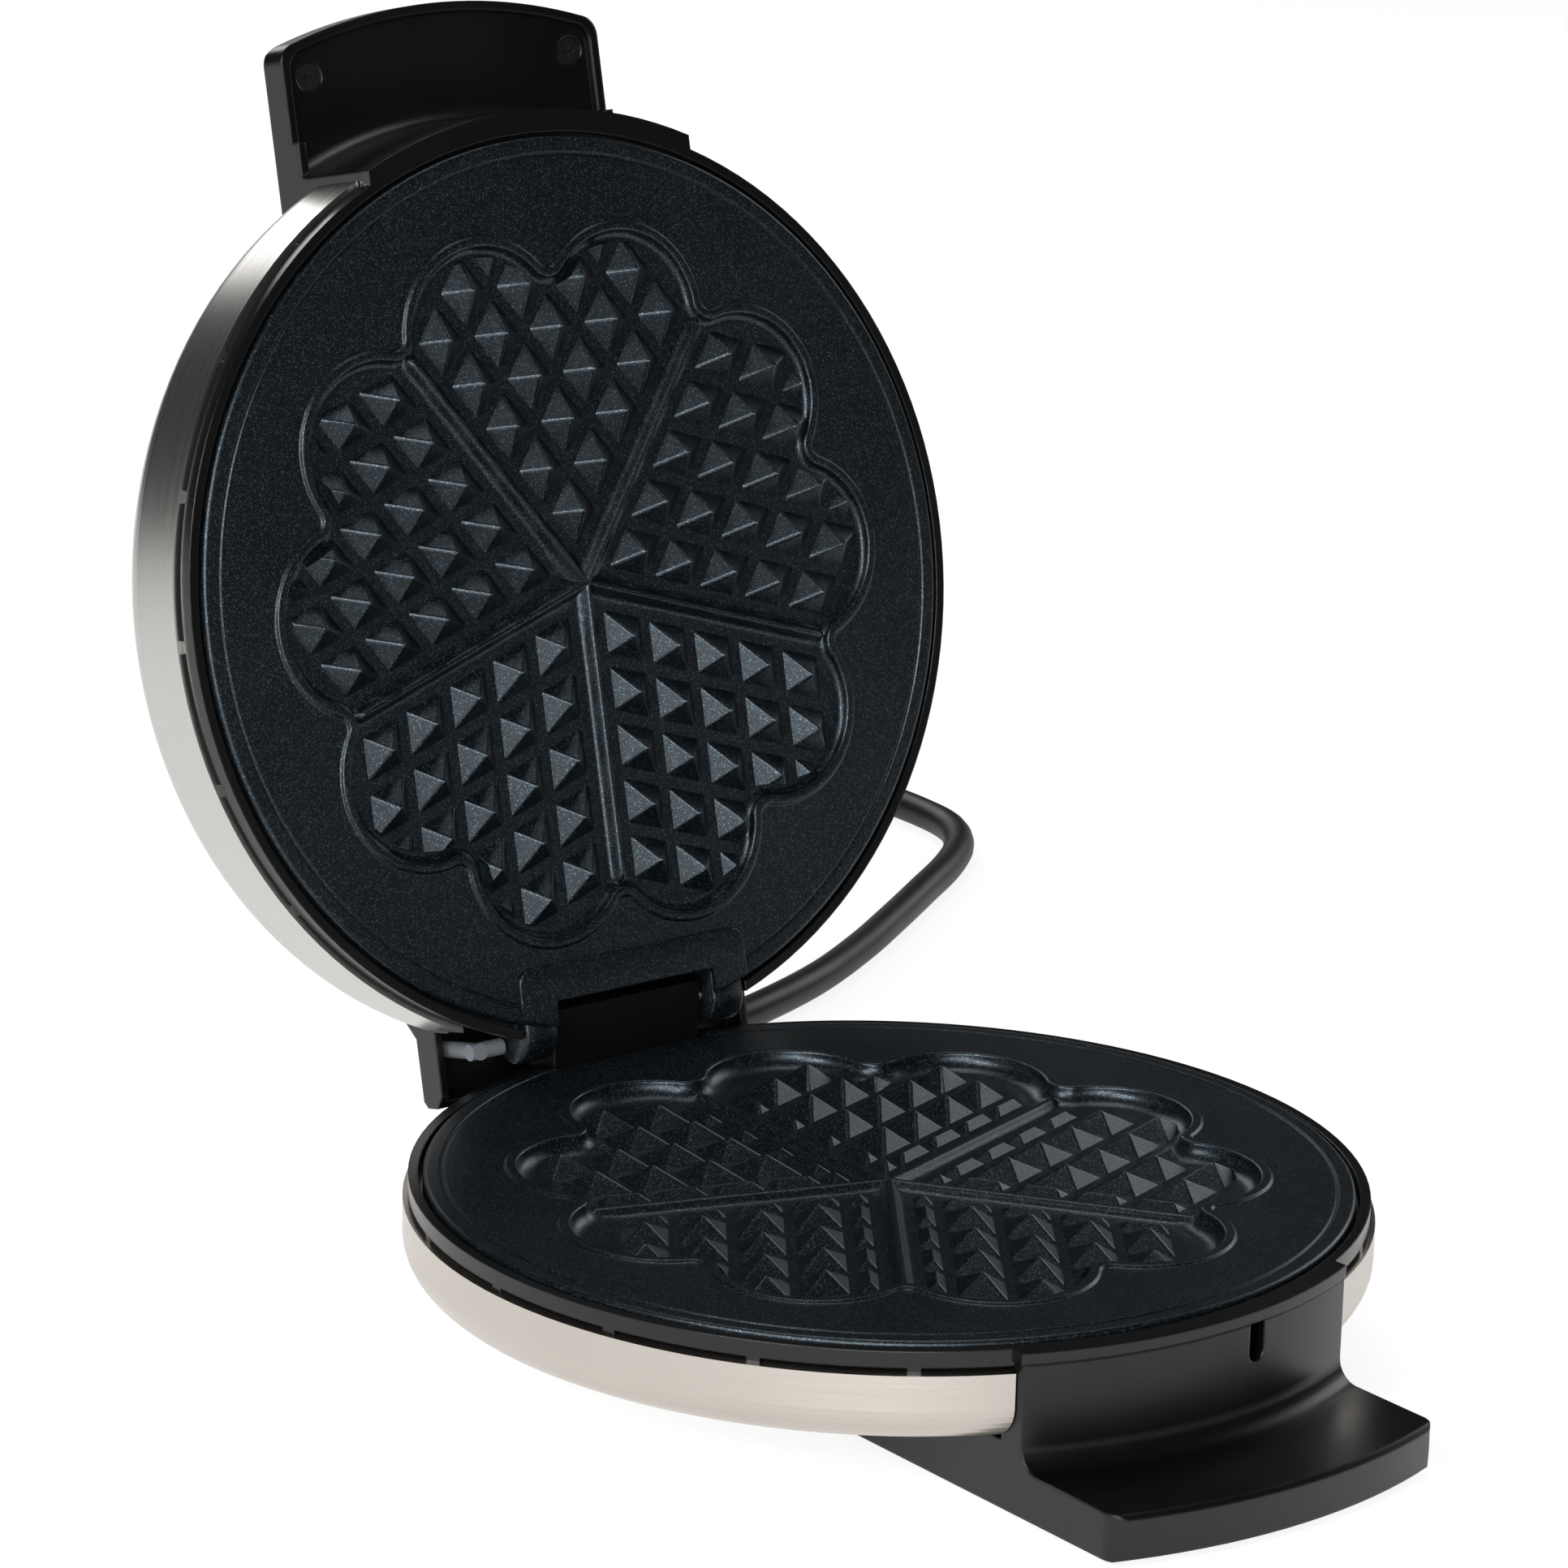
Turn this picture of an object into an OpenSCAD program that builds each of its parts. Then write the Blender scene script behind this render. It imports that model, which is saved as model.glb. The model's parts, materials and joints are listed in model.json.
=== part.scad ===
// Five-heart waffle maker. The base and the lid are alike: a cast plate, a vent ring, a steel shell and
// plastic handle parts. Both are drawn in "half" coordinates, where the plate face is at height 0 and
// height grows into the housing, and are then placed by base_half() and lid_half(). The drawn pose is open.

/* [Plates] */
// Radius of both cast plates
plate_r = 105; // [100:0.5:110]
// Thickness of a plate at its rim
plate_rim_t = 4; // [3:0.25:5]
// Depth of the waffle cavity in each plate
cavity_d = 9; // [7.5:0.25:9.5]
// Thickness of metal under the cavity
floor_t = 3; // [2.5:0.25:3.5]
// Width of the raised bead round the cavity
bead_w = 3; // [2:0.25:4]
// Height of that bead above the plate face
bead_h = 0.6; // [0.3:0.05:0.65]
// Gap between the two plate faces when the lid is shut
closed_gap = 1.5; // [1.4:0.1:2]

/* [Waffle pattern] */
// Number of hearts in the waffle
hearts = 5; // [5]
// Radius of the circle on which the lobe centres lie
lobe_ring_r = 63.5; // [61:0.5:65]
// Radius of each lobe
lobe_r = 19.5; // [18.5:0.25:20]
// Radius of the circle on which the centres of the clefts' fillets lie
cleft_ring_r = 77.5; // [76.5:0.25:78.5]
// Channel left between the cavity wall and the pyramids that it cuts
stud_margin = 1.8; // [1:0.2:3]
// Width of a dividing rib at its top
rib_w = 2; // [1.6:0.1:3]
// How much wider a rib is on each side at its foot
rib_run = 3.2; // [1.5:0.1:3.4]
// How far the ribs end below the plate face
rib_drop = 0.8; // [0.5:0.1:1.5]
// Distance between rows of pyramids
stud_pitch = 12.5; // [11.5:0.25:14]
// Width of a pyramid at its foot
stud_base = 8.5; // [7:0.25:9]
// Height of a pyramid
stud_h = 6; // [4:0.25:6.5]
// Distance from a rib's middle to the first row of pyramids
stud_first = 11; // [9.5:0.25:12]
// Rows of pyramids counted from each rib
stud_rows = 5; // [3:1:6]

/* [Vent rings] */
// Gap between a plate's edge and the lip of its ring
lip_gap = 1; // [0.6:0.1:1.5]
// Width of the lip
lip_w = 2.3; // [1.8:0.1:3]
// How far the lip stands back from the plate face
lip_drop = 0.8; // [0.5:0.1:1.2]
// Height of the open vent slot under the lip
vent_h = 1.3; // [1:0.1:2]
// Angle from one vent post to the next
vent_step = 18; // [12:1:30]
// Width of a vent post
vent_post_w = 3; // [2:0.25:4]

/* [Steel shells] */
// How far the steel band stands out beyond the lip
band_proud = 1.2; // [0.8:0.1:2]
// Depth of the base shell behind its plate face
base_shell_d = 22; // [22:0.25:24]
// Depth of the lid shell behind its plate face
lid_shell_d = 29.5; // [28:0.25:30.5]
// Outside radius of the shells' rounded edge
shell_edge_r = 8; // [6:0.5:10]
// Thickness of the sheet
sheet_t = 0.6; // [0.5:0.05:1]

/* [Handles] */
// Width of both handles and of the saddle under the base
handle_w = 91; // [86:0.5:96]
// Distance from the middle of the plates to the front of the handles
handle_reach = 139.5; // [134:0.5:146]
// Wall thickness of the plastic mouldings
wall_t = 2.3; // [2:0.1:2.6]
// How far the handles' curved wall stands out beyond the steel band
neck_proud = 1.7; // [1.2:0.1:2.5]
// Radius of the fillet between that wall and the handle shelf
neck_fillet_r = 5.1; // [4:0.1:6]
// Plan radius of the handles' corners
handle_corner_r = 5; // [3:0.5:7]
// Depth from the plate face to the top of the base handle
base_shelf_d = 27; // [26.5:0.25:28]
// Depth from the plate face to the bottom of the saddle
saddle_d = 37.5; // [36.5:0.25:40]
// Depth from the plate face to the underside of the lid handle
lid_shelf_d = 32.3; // [31.5:0.25:33]
// Depth from the plate face to the top of the lid handle
lid_handle_d = 40; // [39.5:0.25:42]
// Width of the small slot in the base handle's wall
slot_w = 4.6; // [4.2:0.1:6]
// Height of that slot
slot_len = 9; // [8:0.25:11]
// Distance of that slot from the middle of the handle
slot_x = 12; // [8:0.5:24]
// Length of the console on the lid, from the middle of the plates to its front
console_reach = 62; // [58:0.5:66]

/* [Hinge] */
// Angle between the open and the shut lid
open_angle = 103.3; // [98:0.1:104]
// How far the hinge axis lies inside the edge of the plates
hinge_inset = 2.3; // [1.5:0.1:2.8]
// Height of the hinge axis above the base plate's face
hinge_z = 9; // [8.8:0.1:9.6]
// Radius of the hinge pin
pin_r = 1.75; // [1.5:0.05:2]
// Width of the hinge post
post_w = 42.6; // [38:0.2:44]
// Running clearance round the hinge pin, on the radius
pin_clear = 0.06; // [0.02:0.01:0.1]
// Width of each hinge ear on the upper plate
ear_w = 9; // [7:0.5:10]
// How far the rear hood stands out behind the edge of the plates
hood_reach = 13.5; // [12.5:0.25:16]

/* [Feet and screws] */
// Height of the feet below the saddle
foot_h = 2; // [1.5:0.25:3]
// Radius of a foot
foot_r = 7; // [5:0.5:8]
// Radius of the screws' shanks
screw_r = 1.6; // [1.4:0.05:1.8]
// Radius of the screws' heads
head_r = 3.3; // [3:0.1:3.6]

/* [Electrics] */
// Radius of the ring on which the heating element lies
heater_ring_r = 66; // [64:0.5:67]
// Radius of the heating element's tube
heater_r = 3.1; // [2.8:0.05:3.2]
// Radius of the browning knob
knob_r = 14; // [11:0.5:16]
// Height of the browning knob
knob_h = 7.5; // [6:0.25:10]

/* [Mains lead] */
// Radius of the mains lead
cord_r = 4.4; // [4:0.1:4.6]
// Radius of the coil, to the middle of the lead
coil_r = 48; // [45:0.5:52]
// Turns in the coil
coil_turns = 2.25; // [1.25:1:3.25]
// Radius of the plug's body
plug_r = 18.5; // [17:0.25:20]

/* [Hidden] */
$fn = 96;
eps = 0.05;
fit = 0.1;           // gap between fixed mouldings that face each other
seam = 0.3;          // visible seam beside the steel band
screw_fit = 0.12;    // gap round a screw shank

// Plate and ring; a cleft's fillet meets the lobes on both sides, with a slight overlap
lobe_step = 180 / hearts;
cleft_overlap = 0.06;
cleft_fillet_r = norm([cleft_ring_r, 0] - polar(lobe_ring_r, lobe_step / 2)) - lobe_r + cleft_overlap;
plate_t = cavity_d + floor_t;
boss_grow = bead_w + 0.5;
lip_in_r = plate_r + lip_gap;
lip_out_r = lip_in_r + lip_w;
lip_bottom = plate_rim_t + 0.6;
flange_h = lip_bottom + vent_h;
ledge_in_r = plate_r - 4;
band_r = lip_out_r + band_proud;
plate_notch_clear = 0.6;

// Handles
handle_hw = handle_w / 2;
inner_hw = handle_hw - wall_t;
neck_r = band_r + neck_proud;
neck_top = lip_drop + 2.7;
saddle_draft = 1.2;
edge_break = 1;
shell_cut_y = plate_r - 10;
lid_wall_top = lip_drop + 3.2;

// Hinge post and hood
hinge_y = plate_r - hinge_inset;
lid_notch_hw = post_w / 2 + 1.5;
lid_notch_y = hinge_y - 6.7;
post_front_y = hinge_y - pin_r - 1.35;
post_back_y = hinge_y + 6.9;
post_top_z = hinge_z + 5;
ear_x = lid_notch_hw;
ear_r = hinge_z - closed_gap - 0.5;
hood_h = 26.8;
hood_back = plate_r + hood_reach;
hood_low = hood_h - 7.8;

// Placing
base_bottom = saddle_d + foot_h;
function open_y(y, z) = hinge_y + (y - hinge_y) * cos(open_angle) + (z - hinge_z) * sin(open_angle);
back_y = open_y(-handle_reach + edge_break, lid_handle_d + closed_gap);
middle_y = (back_y - handle_reach) / 2;

// Heater, reflector and fixings
heater_h = plate_t + heater_r;
clip_top = heater_h + heater_r + 0.8;
reflector_h = clip_top + 0.2;
reflector_r = heater_ring_r + 5;
heater_gap = 60;
pin_len = 10;
lead_r = 1.2;
lead_x = heater_ring_r * sin(heater_gap / 2) - pin_len * cos(heater_gap / 2);
lead_y = heater_ring_r * cos(heater_gap / 2) + pin_len * sin(heater_gap / 2);
base_screw_y = 28;
base_screw_xy = [for (x = [-28, 28], s = [-1, 1]) [x, s * base_screw_y]];
earth_xy = [0, -60];
bar_h = base_shell_d + fit;
bar_t = 3;
bar_w = 14;
lid_front_screw_xy = [for (s = [-1, 1]) polar(lobe_ring_r + 12.7, 270 + 23 * s)];
lid_screw_len = 11;
lid_rear_screw_xy = [for (s = [-1, 1]) [s * (ear_x + ear_w + 2.2), plate_r - 16]];
boss_r = 4.4;
cover_screw_xy = [for (s = [-1, 1])
    each [[s * (inner_hw - 6.2), 23.5 - handle_reach], [s * (inner_hw - 3.5), hood_back - 36.5]]];
cover_top = saddle_d - 1.8;
cover_r = handle_reach - saddle_draft - wall_t - 0.3;
foot_xy = [for (s = [-1, 1], y = [37.5 - handle_reach, hood_back - 14.5]) [s * (inner_hw - 11.2), y]];
foot_sink = 0.8;
panel_screw_xy = [for (s = [-1, 1]) [s * (handle_hw - 8), 14.5 - handle_reach]];
panel_t = 2.4;
panel_h = lid_handle_d - wall_t - 1.8 - panel_t;

// Thermostat and lamp, on the lid under the console
stat_y = 1 - lobe_ring_r - lobe_r;   // just outside the waffle, so that the bracket stands on the rim
stat_size = [22, 16, 10];
stat_h = lid_shell_d - sheet_t - stat_size[2] - 1.9;
spindle_r = 3;
knob_gap = 0.4;
lamp_x = inner_hw - 16;
lens_r = 4;

// Cord gland, lead, coil and plug
rear_top = base_shell_d + 0.3;
gland_x = inner_hw - 10.2;
gland_h = (rear_top + saddle_d) / 2 + 0.1;
gland_len = 20;
gland_r = cord_r + 0.9;
cord_z = -base_bottom + cord_r;
coil_pitch = 2 * cord_r + 0.1;
coil_mid = [213, 372];
cord_route = [
    [gland_x, hood_back + gland_len, -gland_h], [34, 149, -31.5], [39, 162, -33], [49, 173, -34.5],
    [65, 180, cord_z], [86, 184, cord_z], [110, 190.5, cord_z], [139, 202, cord_z], [166, 217, cord_z],
    [190, 232.5, cord_z], [213, 248, cord_z], [234, 262.5, cord_z], [249, 276, cord_z], [258, 291, cord_z],
    [261, 309, cord_z], [261, 338, cord_z], [coil_mid[0] + coil_r, coil_mid[1], cord_z]];
tail_z = cord_z + coil_turns * coil_pitch;
plug_z = -base_bottom + plug_r;
plug_x = coil_mid[0] - 38;
plug_y = coil_mid[1] + coil_r;
tail_route = [[coil_mid[0], plug_y, tail_z], [205, plug_y, tail_z - 1], [190, plug_y, plug_z + 1],
    [plug_x, plug_y, plug_z]];

// Colours
black = [0.07, 0.07, 0.075];
coating = [0.09, 0.11, 0.14];
steel = [0.72, 0.70, 0.67];
zinc = [0.6, 0.6, 0.6];
brass_c = [0.75, 0.6, 0.3];

// ---- Helpers ----
function polar(r, a) = r * [cos(a), sin(a)];
function arc(c, r, a0, a1, n = 8) = [for (i = [0:n]) let (a = a0 + (a1 - a0) * i / n) c + polar(r, a)];

module base_half() { translate([0, -middle_y, base_bottom]) mirror([0, 0, 1]) children(); }
module base_world() { translate([0, -middle_y, base_bottom]) children(); }
module lid_half() {
    translate([0, hinge_y - middle_y, base_bottom + hinge_z]) rotate([-open_angle, 0, 0])
        translate([0, -hinge_y, closed_gap - hinge_z]) children();
}

// A box given by its low and high corners
module box(lo, hi) { translate(lo) cube(hi - lo); }
// A prism across the width, drawn as [y, height] points
module across(hw) { translate([-hw, 0, 0]) rotate([90, 0, 90]) linear_extrude(2 * hw) children(); }
module slab(h0, h1) { translate([0, 0, h0]) linear_extrude(h1 - h0) children(); }
module rod(x, y, h0, h1, r) { translate([x, y, h0]) cylinder(r = r, h = h1 - h0); }
module rod_x(x0, x1, y, h, r) { translate([x0, y, h]) rotate([0, 90, 0]) cylinder(r = r, h = x1 - x0); }
module rod_y(y0, y1, x, h, r) { translate([x, y0, h]) rotate([-90, 0, 0]) cylinder(r = r, h = y1 - y0); }
module holes(at, r, h0, h1) { for (p = at) rod(p[0], p[1], h0, h1, r); }

// Outline of the five hearts, grown outwards by g
module flower(g) {
    difference() {
        union() {
            for (i = [0:2 * hearts - 1]) rotate(lobe_step * i) translate([lobe_ring_r, 0])
                circle(r = lobe_r + g);
            polygon([for (i = [0:4 * hearts - 1])
                polar(i % 2 == 0 ? lobe_ring_r : cleft_ring_r, lobe_step / 2 * i)]);
        }
        for (i = [0:2 * hearts - 1]) rotate(lobe_step * (i + 0.5)) translate([cleft_ring_r, 0])
            circle(r = cleft_fillet_r - g);
    }
}
module cavity() { translate([0, 0, -1]) linear_extrude(cavity_d + 1) flower(0); }

// A bar along +X from x0 with a given [y, height] section
module bar_along(x0, len, section) {
    translate([x0, 0, 0]) rotate([90, 0, 90]) linear_extrude(len) polygon(section);
}

module ribs() {
    for (i = [0:hearts - 1]) rotate(270 + lobe_step * (2 * i + 1))
        bar_along(-2, cleft_ring_r - cleft_fillet_r + 3,
            [[-rib_w / 2, rib_drop], [rib_w / 2, rib_drop], [rib_w / 2 + rib_run, cavity_d + eps],
             [-rib_w / 2 - rib_run, cavity_d + eps]]);
}

// Rows of ridges beside a rib that lies along +X; side is 1 or -1
module ridges(side) {
    for (i = [0:stud_rows - 1])
        translate([0, side * (stud_first + i * stud_pitch), 0])
            bar_along(2, lobe_ring_r + lobe_r,
                [[-stud_base / 2, cavity_d + eps], [0, cavity_d - stud_h], [stud_base / 2, cavity_d + eps]]);
}

// The pyramids of every heart stand where the two families of ridges cross
module pyramids() {
    intersection() {
        for (i = [0:hearts - 1]) rotate(270 + 2 * lobe_step * i) intersection() {
            rotate(-lobe_step) ridges(1);
            rotate(lobe_step) ridges(-1);
        }
        linear_extrude(2 * cavity_d) flower(-stud_margin);
    }
}

module plate(notch_hw, notch_y) {
    difference() {
        union() {
            cylinder(r = plate_r, h = plate_rim_t);
            linear_extrude(plate_t) flower(boss_grow);
            translate([0, 0, -bead_h]) linear_extrude(2 * bead_h) flower(bead_w);
            children();
        }
        difference() {
            cavity();
            ribs();
            pyramids();
        }
        box([-notch_hw, notch_y, -5], [notch_hw, plate_r + 20, plate_rim_t + 20]);
        rotate_extrude() translate([plate_r - 4.6, -eps]) square([0.8, 0.4 + eps]);
    }
}

module vent_ring(notch_hw, notch_y) {
    difference() {
        union() {
            rotate_extrude() polygon([[lip_in_r, lip_drop], [lip_out_r, lip_drop], [lip_out_r, lip_bottom],
                [lip_in_r + 0.4, lip_bottom], [lip_in_r + 0.4, lip_bottom + 0.5],
                [ledge_in_r, lip_bottom + 0.5],
                [ledge_in_r, plate_rim_t + fit], [lip_in_r, plate_rim_t + fit]]);
            for (a = [0:vent_step:359]) if (abs(cos(a)) > 0.5 || sin(a) > 0) rotate(a)
                box([lip_out_r - 2, -vent_post_w / 2, lip_bottom - eps],
                    [lip_out_r, vent_post_w / 2, flange_h]);
            intersection() {
                rotate_extrude() polygon([[lip_in_r + 0.5, lip_drop], [neck_r + 0.2, lip_drop],
                    [neck_r + 0.2, neck_top - fit], [lip_in_r + 0.5, neck_top - fit]]);
                box([-handle_hw - 0.5, -handle_reach, 0], [handle_hw + 0.5, -plate_r / 2, flange_h]);
            }
        }
        box([-notch_hw, notch_y, -1], [notch_hw, plate_r + 20, flange_h + 5]);
    }
}

module shell(depth) {
    c = [band_r - shell_edge_r, depth - shell_edge_r];
    rotate_extrude() polygon(concat(
        [[ledge_in_r + 3.5, flange_h], [band_r, flange_h]],
        arc(c, shell_edge_r, 0, 90),
        [[0, depth], [0, depth - sheet_t]],
        arc(c, shell_edge_r - sheet_t, 90, 0),
        [[band_r - sheet_t, flange_h + sheet_t], [ledge_in_r + 3.5, flange_h + sheet_t]]));
}

module heater() {
    translate([0, 0, heater_h]) {
        rotate([0, 0, 90 + heater_gap / 2]) rotate_extrude(angle = 360 - heater_gap)
            translate([heater_ring_r, 0]) circle(r = heater_r);
        for (s = [-1, 1]) rotate(90 + s * heater_gap / 2) translate([heater_ring_r, 0, 0])
            rotate([s * 90, 0, 0]) cylinder(r = lead_r + 0.3, h = pin_len);
    }
}

module heater_clips() {
    for (a = [0, 180, 234, 306]) rotate(a) difference() {
        box([heater_ring_r - 7, -4, plate_t], [heater_ring_r + 4, 4, clip_top]);
        translate([0, 0, heater_h]) rotate_extrude() translate([heater_ring_r, 0]) circle(r = heater_r + eps);
    }
}

module reflector(screws) {
    difference() {
        union() {
            translate([0, 0, reflector_h]) cylinder(r = reflector_r, h = 0.5);
            translate([0, 0, reflector_h - 2]) difference() {
                cylinder(r = reflector_r, h = 2.2);
                translate([0, 0, -1]) cylinder(r = reflector_r - 0.5, h = 4);
            }
        }
        holes(screws, screw_r + screw_fit, reflector_h - 1, reflector_h + 2);
        holes([[-lead_x, lead_y], [lead_x, lead_y]], lead_r + 1.5, reflector_h - 3, reflector_h + 2);
    }
}

module screw(x, y, h_head, h_end) {
    rod(x, y, h_head - 2, h_head, head_r);
    rod(x, y, h_end, h_head - 1, screw_r);
}

// Section of a handle from the curved wall to its front, as [radius, depth] points
function handle_section(inset, shelf, end, draft) = concat(
    [[plate_r - 14, neck_top], [neck_r - inset, neck_top]],
    arc([neck_r - inset + neck_fillet_r, shelf - neck_fillet_r], neck_fillet_r, 180, 90),
    [[handle_reach - edge_break - inset, shelf], [handle_reach - inset, shelf + edge_break],
     [handle_reach - inset - draft, end], [plate_r - 14, end]]);

// Plan of a handle: a slab of the front disc with rounded corners
module handle_plan(inset) {
    r = handle_corner_r;
    hw = handle_hw - inset;
    reach = handle_reach - inset;
    cy = -sqrt(pow(reach - r, 2) - pow(hw - r, 2));
    tip = atan2(cy, hw - r);
    difference() {
        intersection() {
            circle(r = reach);
            translate([-hw, -reach]) square([2 * hw, reach - plate_r + 18]);
        }
        for (s = [-1, 1]) scale_x(s) translate([hw - r, cy]) difference() {
            polygon([[0, 0], [2 * r, 0], [2 * r, -3 * r], 3 * r * [cos(tip), sin(tip)]]);
            circle(r = r);
        }
    }
}
module scale_x(s) { if (s > 0) children(); else mirror([1, 0, 0]) children(); }

// The cord's tube: one ring of points at each route point, square to the path
function unit(v) = v / norm(v);
function cross_ring(p, t, r, n) = let (side = unit(cross(t, [0, 0, 1])), up = cross(side, t))
    [for (i = [0:n - 1]) p + r * (cos(360 * i / n) * side + sin(360 * i / n) * up)];
module tube(route, r, t0, t1, n = 10) {
    last = len(route) - 1;
    rings = [for (i = [0:last]) cross_ring(route[i],
        i == 0 ? t0 : i == last ? t1 : unit(route[i + 1] - route[i - 1]), r, n)];
    polyhedron(points = [for (ring = rings) each ring], faces = concat(
        [[for (i = [0:n - 1]) i]],
        [for (k = [0:last - 1]) for (i = [0:n - 1]) let (j = (i + 1) % n)
            [k * n + j, k * n + i, (k + 1) * n + i, (k + 1) * n + j]],
        [[for (i = [n - 1:-1:0]) last * n + i]]), convexity = 6);
}
// Points of a smooth curve through the route, with steps between each pair
function curve_at(a, b, c, d, t) = 0.5 * (2 * b + (c - a) * t + (2 * a - 5 * b + 4 * c - d) * t * t
    + (3 * b - a - 3 * c + d) * t * t * t);
function smooth(p, steps) = let (n = len(p) - 1) concat(
    [for (i = [0:n - 1]) for (s = [0:steps - 1])
        curve_at(p[max(i - 1, 0)], p[i], p[i + 1], p[min(i + 2, n)], s / steps)], [p[n]]);

// ---- Base ----
module base_saddle() {
    color(black) base_half() difference() {
        union() {
            // handle wall and shelf
            intersection() {
                difference() {
                    rotate_extrude() polygon(handle_section(0, base_shelf_d, saddle_d, saddle_draft));
                    intersection() {
                        rotate_extrude() polygon(handle_section(wall_t, base_shelf_d + wall_t, saddle_d + 1,
                            saddle_draft));
                        box([-inner_hw, -handle_reach, -1], [inner_hw, 0, saddle_d + 2]);
                    }
                }
                linear_extrude(saddle_d) handle_plan(0);
                box([-handle_hw, -handle_reach - 1, 0], [handle_hw, -shell_cut_y - fit, saddle_d + 1]);
            }
            // side walls of the spine and rear housing
            slab(rear_top, saddle_d) difference() {
                translate([-handle_hw, -shell_cut_y - 2]) square([handle_w, hood_back + shell_cut_y + 2]);
                translate([-inner_hw, -shell_cut_y - 3])
                    square([2 * inner_hw, hood_back + shell_cut_y + 3 - wall_t]);
            }
            // roof over the rear housing, and bars under the shell
            box([-inner_hw - 1, band_r - 22, rear_top], [inner_hw + 1, hood_back - 1, rear_top + wall_t]);
            for (s = [-1, 1])
                box([-inner_hw - 1, s * base_screw_y - bar_w / 2, bar_h],
                    [inner_hw + 1, s * base_screw_y + bar_w / 2, bar_h + bar_t]);
            // hinge post
            box([-post_w / 2, post_front_y, -post_top_z], [post_w / 2, post_back_y, rear_top + 1]);
            // pillars for the cover's screws
            for (p = cover_screw_xy)
                rod(p[0], p[1], (p[1] < 0 ? base_shelf_d : rear_top) + 1, cover_top, boss_r);
        }
        translate([0, 0, neck_top - 1])
            cylinder(r = lip_out_r + fit, h = lip_bottom + 0.5 + fit - neck_top + 1);
        holes(base_screw_xy, screw_r + screw_fit, bar_h - 1, bar_h + bar_t + 1);
        holes(cover_screw_xy, screw_r + screw_fit, cover_top - 6, cover_top + 1);
        rod_x(-post_w, post_w, hinge_y, -hinge_z, pin_r + 0.02);
        rod_y(hood_back - 2 * wall_t, hood_back + 1, gland_x, gland_h, gland_r + fit);
        // upright slot in the curved wall, under the lip of the vent ring
        translate([0, -neck_r, 0]) {
            box([slot_x - slot_w / 2, -5, neck_top - 1],
                [slot_x + slot_w / 2, 6, neck_top + slot_len - slot_w / 2]);
            rod_y(-5, 6, slot_x, neck_top + slot_len - slot_w / 2, slot_w / 2);
        }
    }
}
module base_shell() {
    color(steel) base_half() difference() {
        shell(base_shell_d);
        box([-handle_hw - seam, -band_r - 5, 0], [handle_hw + seam, -shell_cut_y, base_shell_d + 1]);
        box([-post_w / 2 - plate_notch_clear, post_front_y - 1, 0],
            [post_w / 2 + plate_notch_clear, band_r + 5, base_shell_d + 1]);
        holes(concat(base_screw_xy, [earth_xy]), screw_r + screw_fit, 10, base_shell_d + 1);
        holes([[-lead_x, lead_y], [lead_x, lead_y]], lead_r + 1.5, 10, base_shell_d + 1);
    }
}

module base_vent_ring() {
    color(black) base_half() vent_ring(post_w / 2 + plate_notch_clear, post_front_y - 0.5);
}

module lower_plate() {
    color(coating) base_half() difference() {
        plate(post_w / 2 + plate_notch_clear, post_front_y - 0.5)
            for (p = base_screw_xy) rod(p[0], p[1], plate_t - 1, reflector_h, boss_r);
        holes(base_screw_xy, screw_r + screw_fit, plate_t + 0.8, reflector_h + 1);
    }
}

module lower_heater() { color(zinc) base_half() heater(); }
module lower_heater_clips() { color(zinc) base_half() heater_clips(); }
module lower_reflector() { color(zinc) base_half() reflector(base_screw_xy); }

module lower_plate_screws() {
    color(zinc) base_half() for (p = base_screw_xy)
        screw(p[0], p[1], bar_h + bar_t + 2, plate_t + 1);
}

module bottom_cover() {
    color(black) base_half() difference() {
        slab(cover_top, saddle_d) union() {
            intersection() {
                circle(r = cover_r);
                handle_plan(wall_t + 1.4);
            }
            translate([-inner_hw + fit, -shell_cut_y]) square([2 * (inner_hw - fit), shell_cut_y + hood_back
                - wall_t - fit]);
        }
        holes(cover_screw_xy, screw_r + screw_fit, cover_top - 1, saddle_d + 1);
        holes(foot_xy, foot_r + fit, saddle_d - foot_sink, saddle_d + 1);
    }
}
module bottom_cover_screws() {
    color(zinc) base_half() for (p = cover_screw_xy) {
        rod(p[0], p[1], saddle_d, saddle_d + 1.4, head_r);
        rod(p[0], p[1], cover_top - 5, saddle_d + 1, screw_r);
    }
}

module rubber_feet() {
    color([0.12, 0.12, 0.12]) base_half() holes(foot_xy, foot_r, saddle_d - foot_sink, base_bottom);
}

module hinge_pin() {
    color(zinc) base_half() rod_x(-ear_x - ear_w + 1, ear_x + ear_w - 1, hinge_y, -hinge_z, pin_r);
}

block_size = [30, 18, 9];
block_y = lead_y;
lead_turn_h = cover_top - block_size[2] / 2;
module terminal_block() {
    color([0.9, 0.88, 0.8]) base_half() difference() {
        box([-block_size[0] / 2, block_y - block_size[1] / 2, cover_top - block_size[2]],
            [block_size[0] / 2, block_y + block_size[1] / 2, cover_top]);
        for (x = [-9, 0, 9]) rod(x, block_y, cover_top - block_size[2] - 1, cover_top - 2, 2);
    }
}

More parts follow.
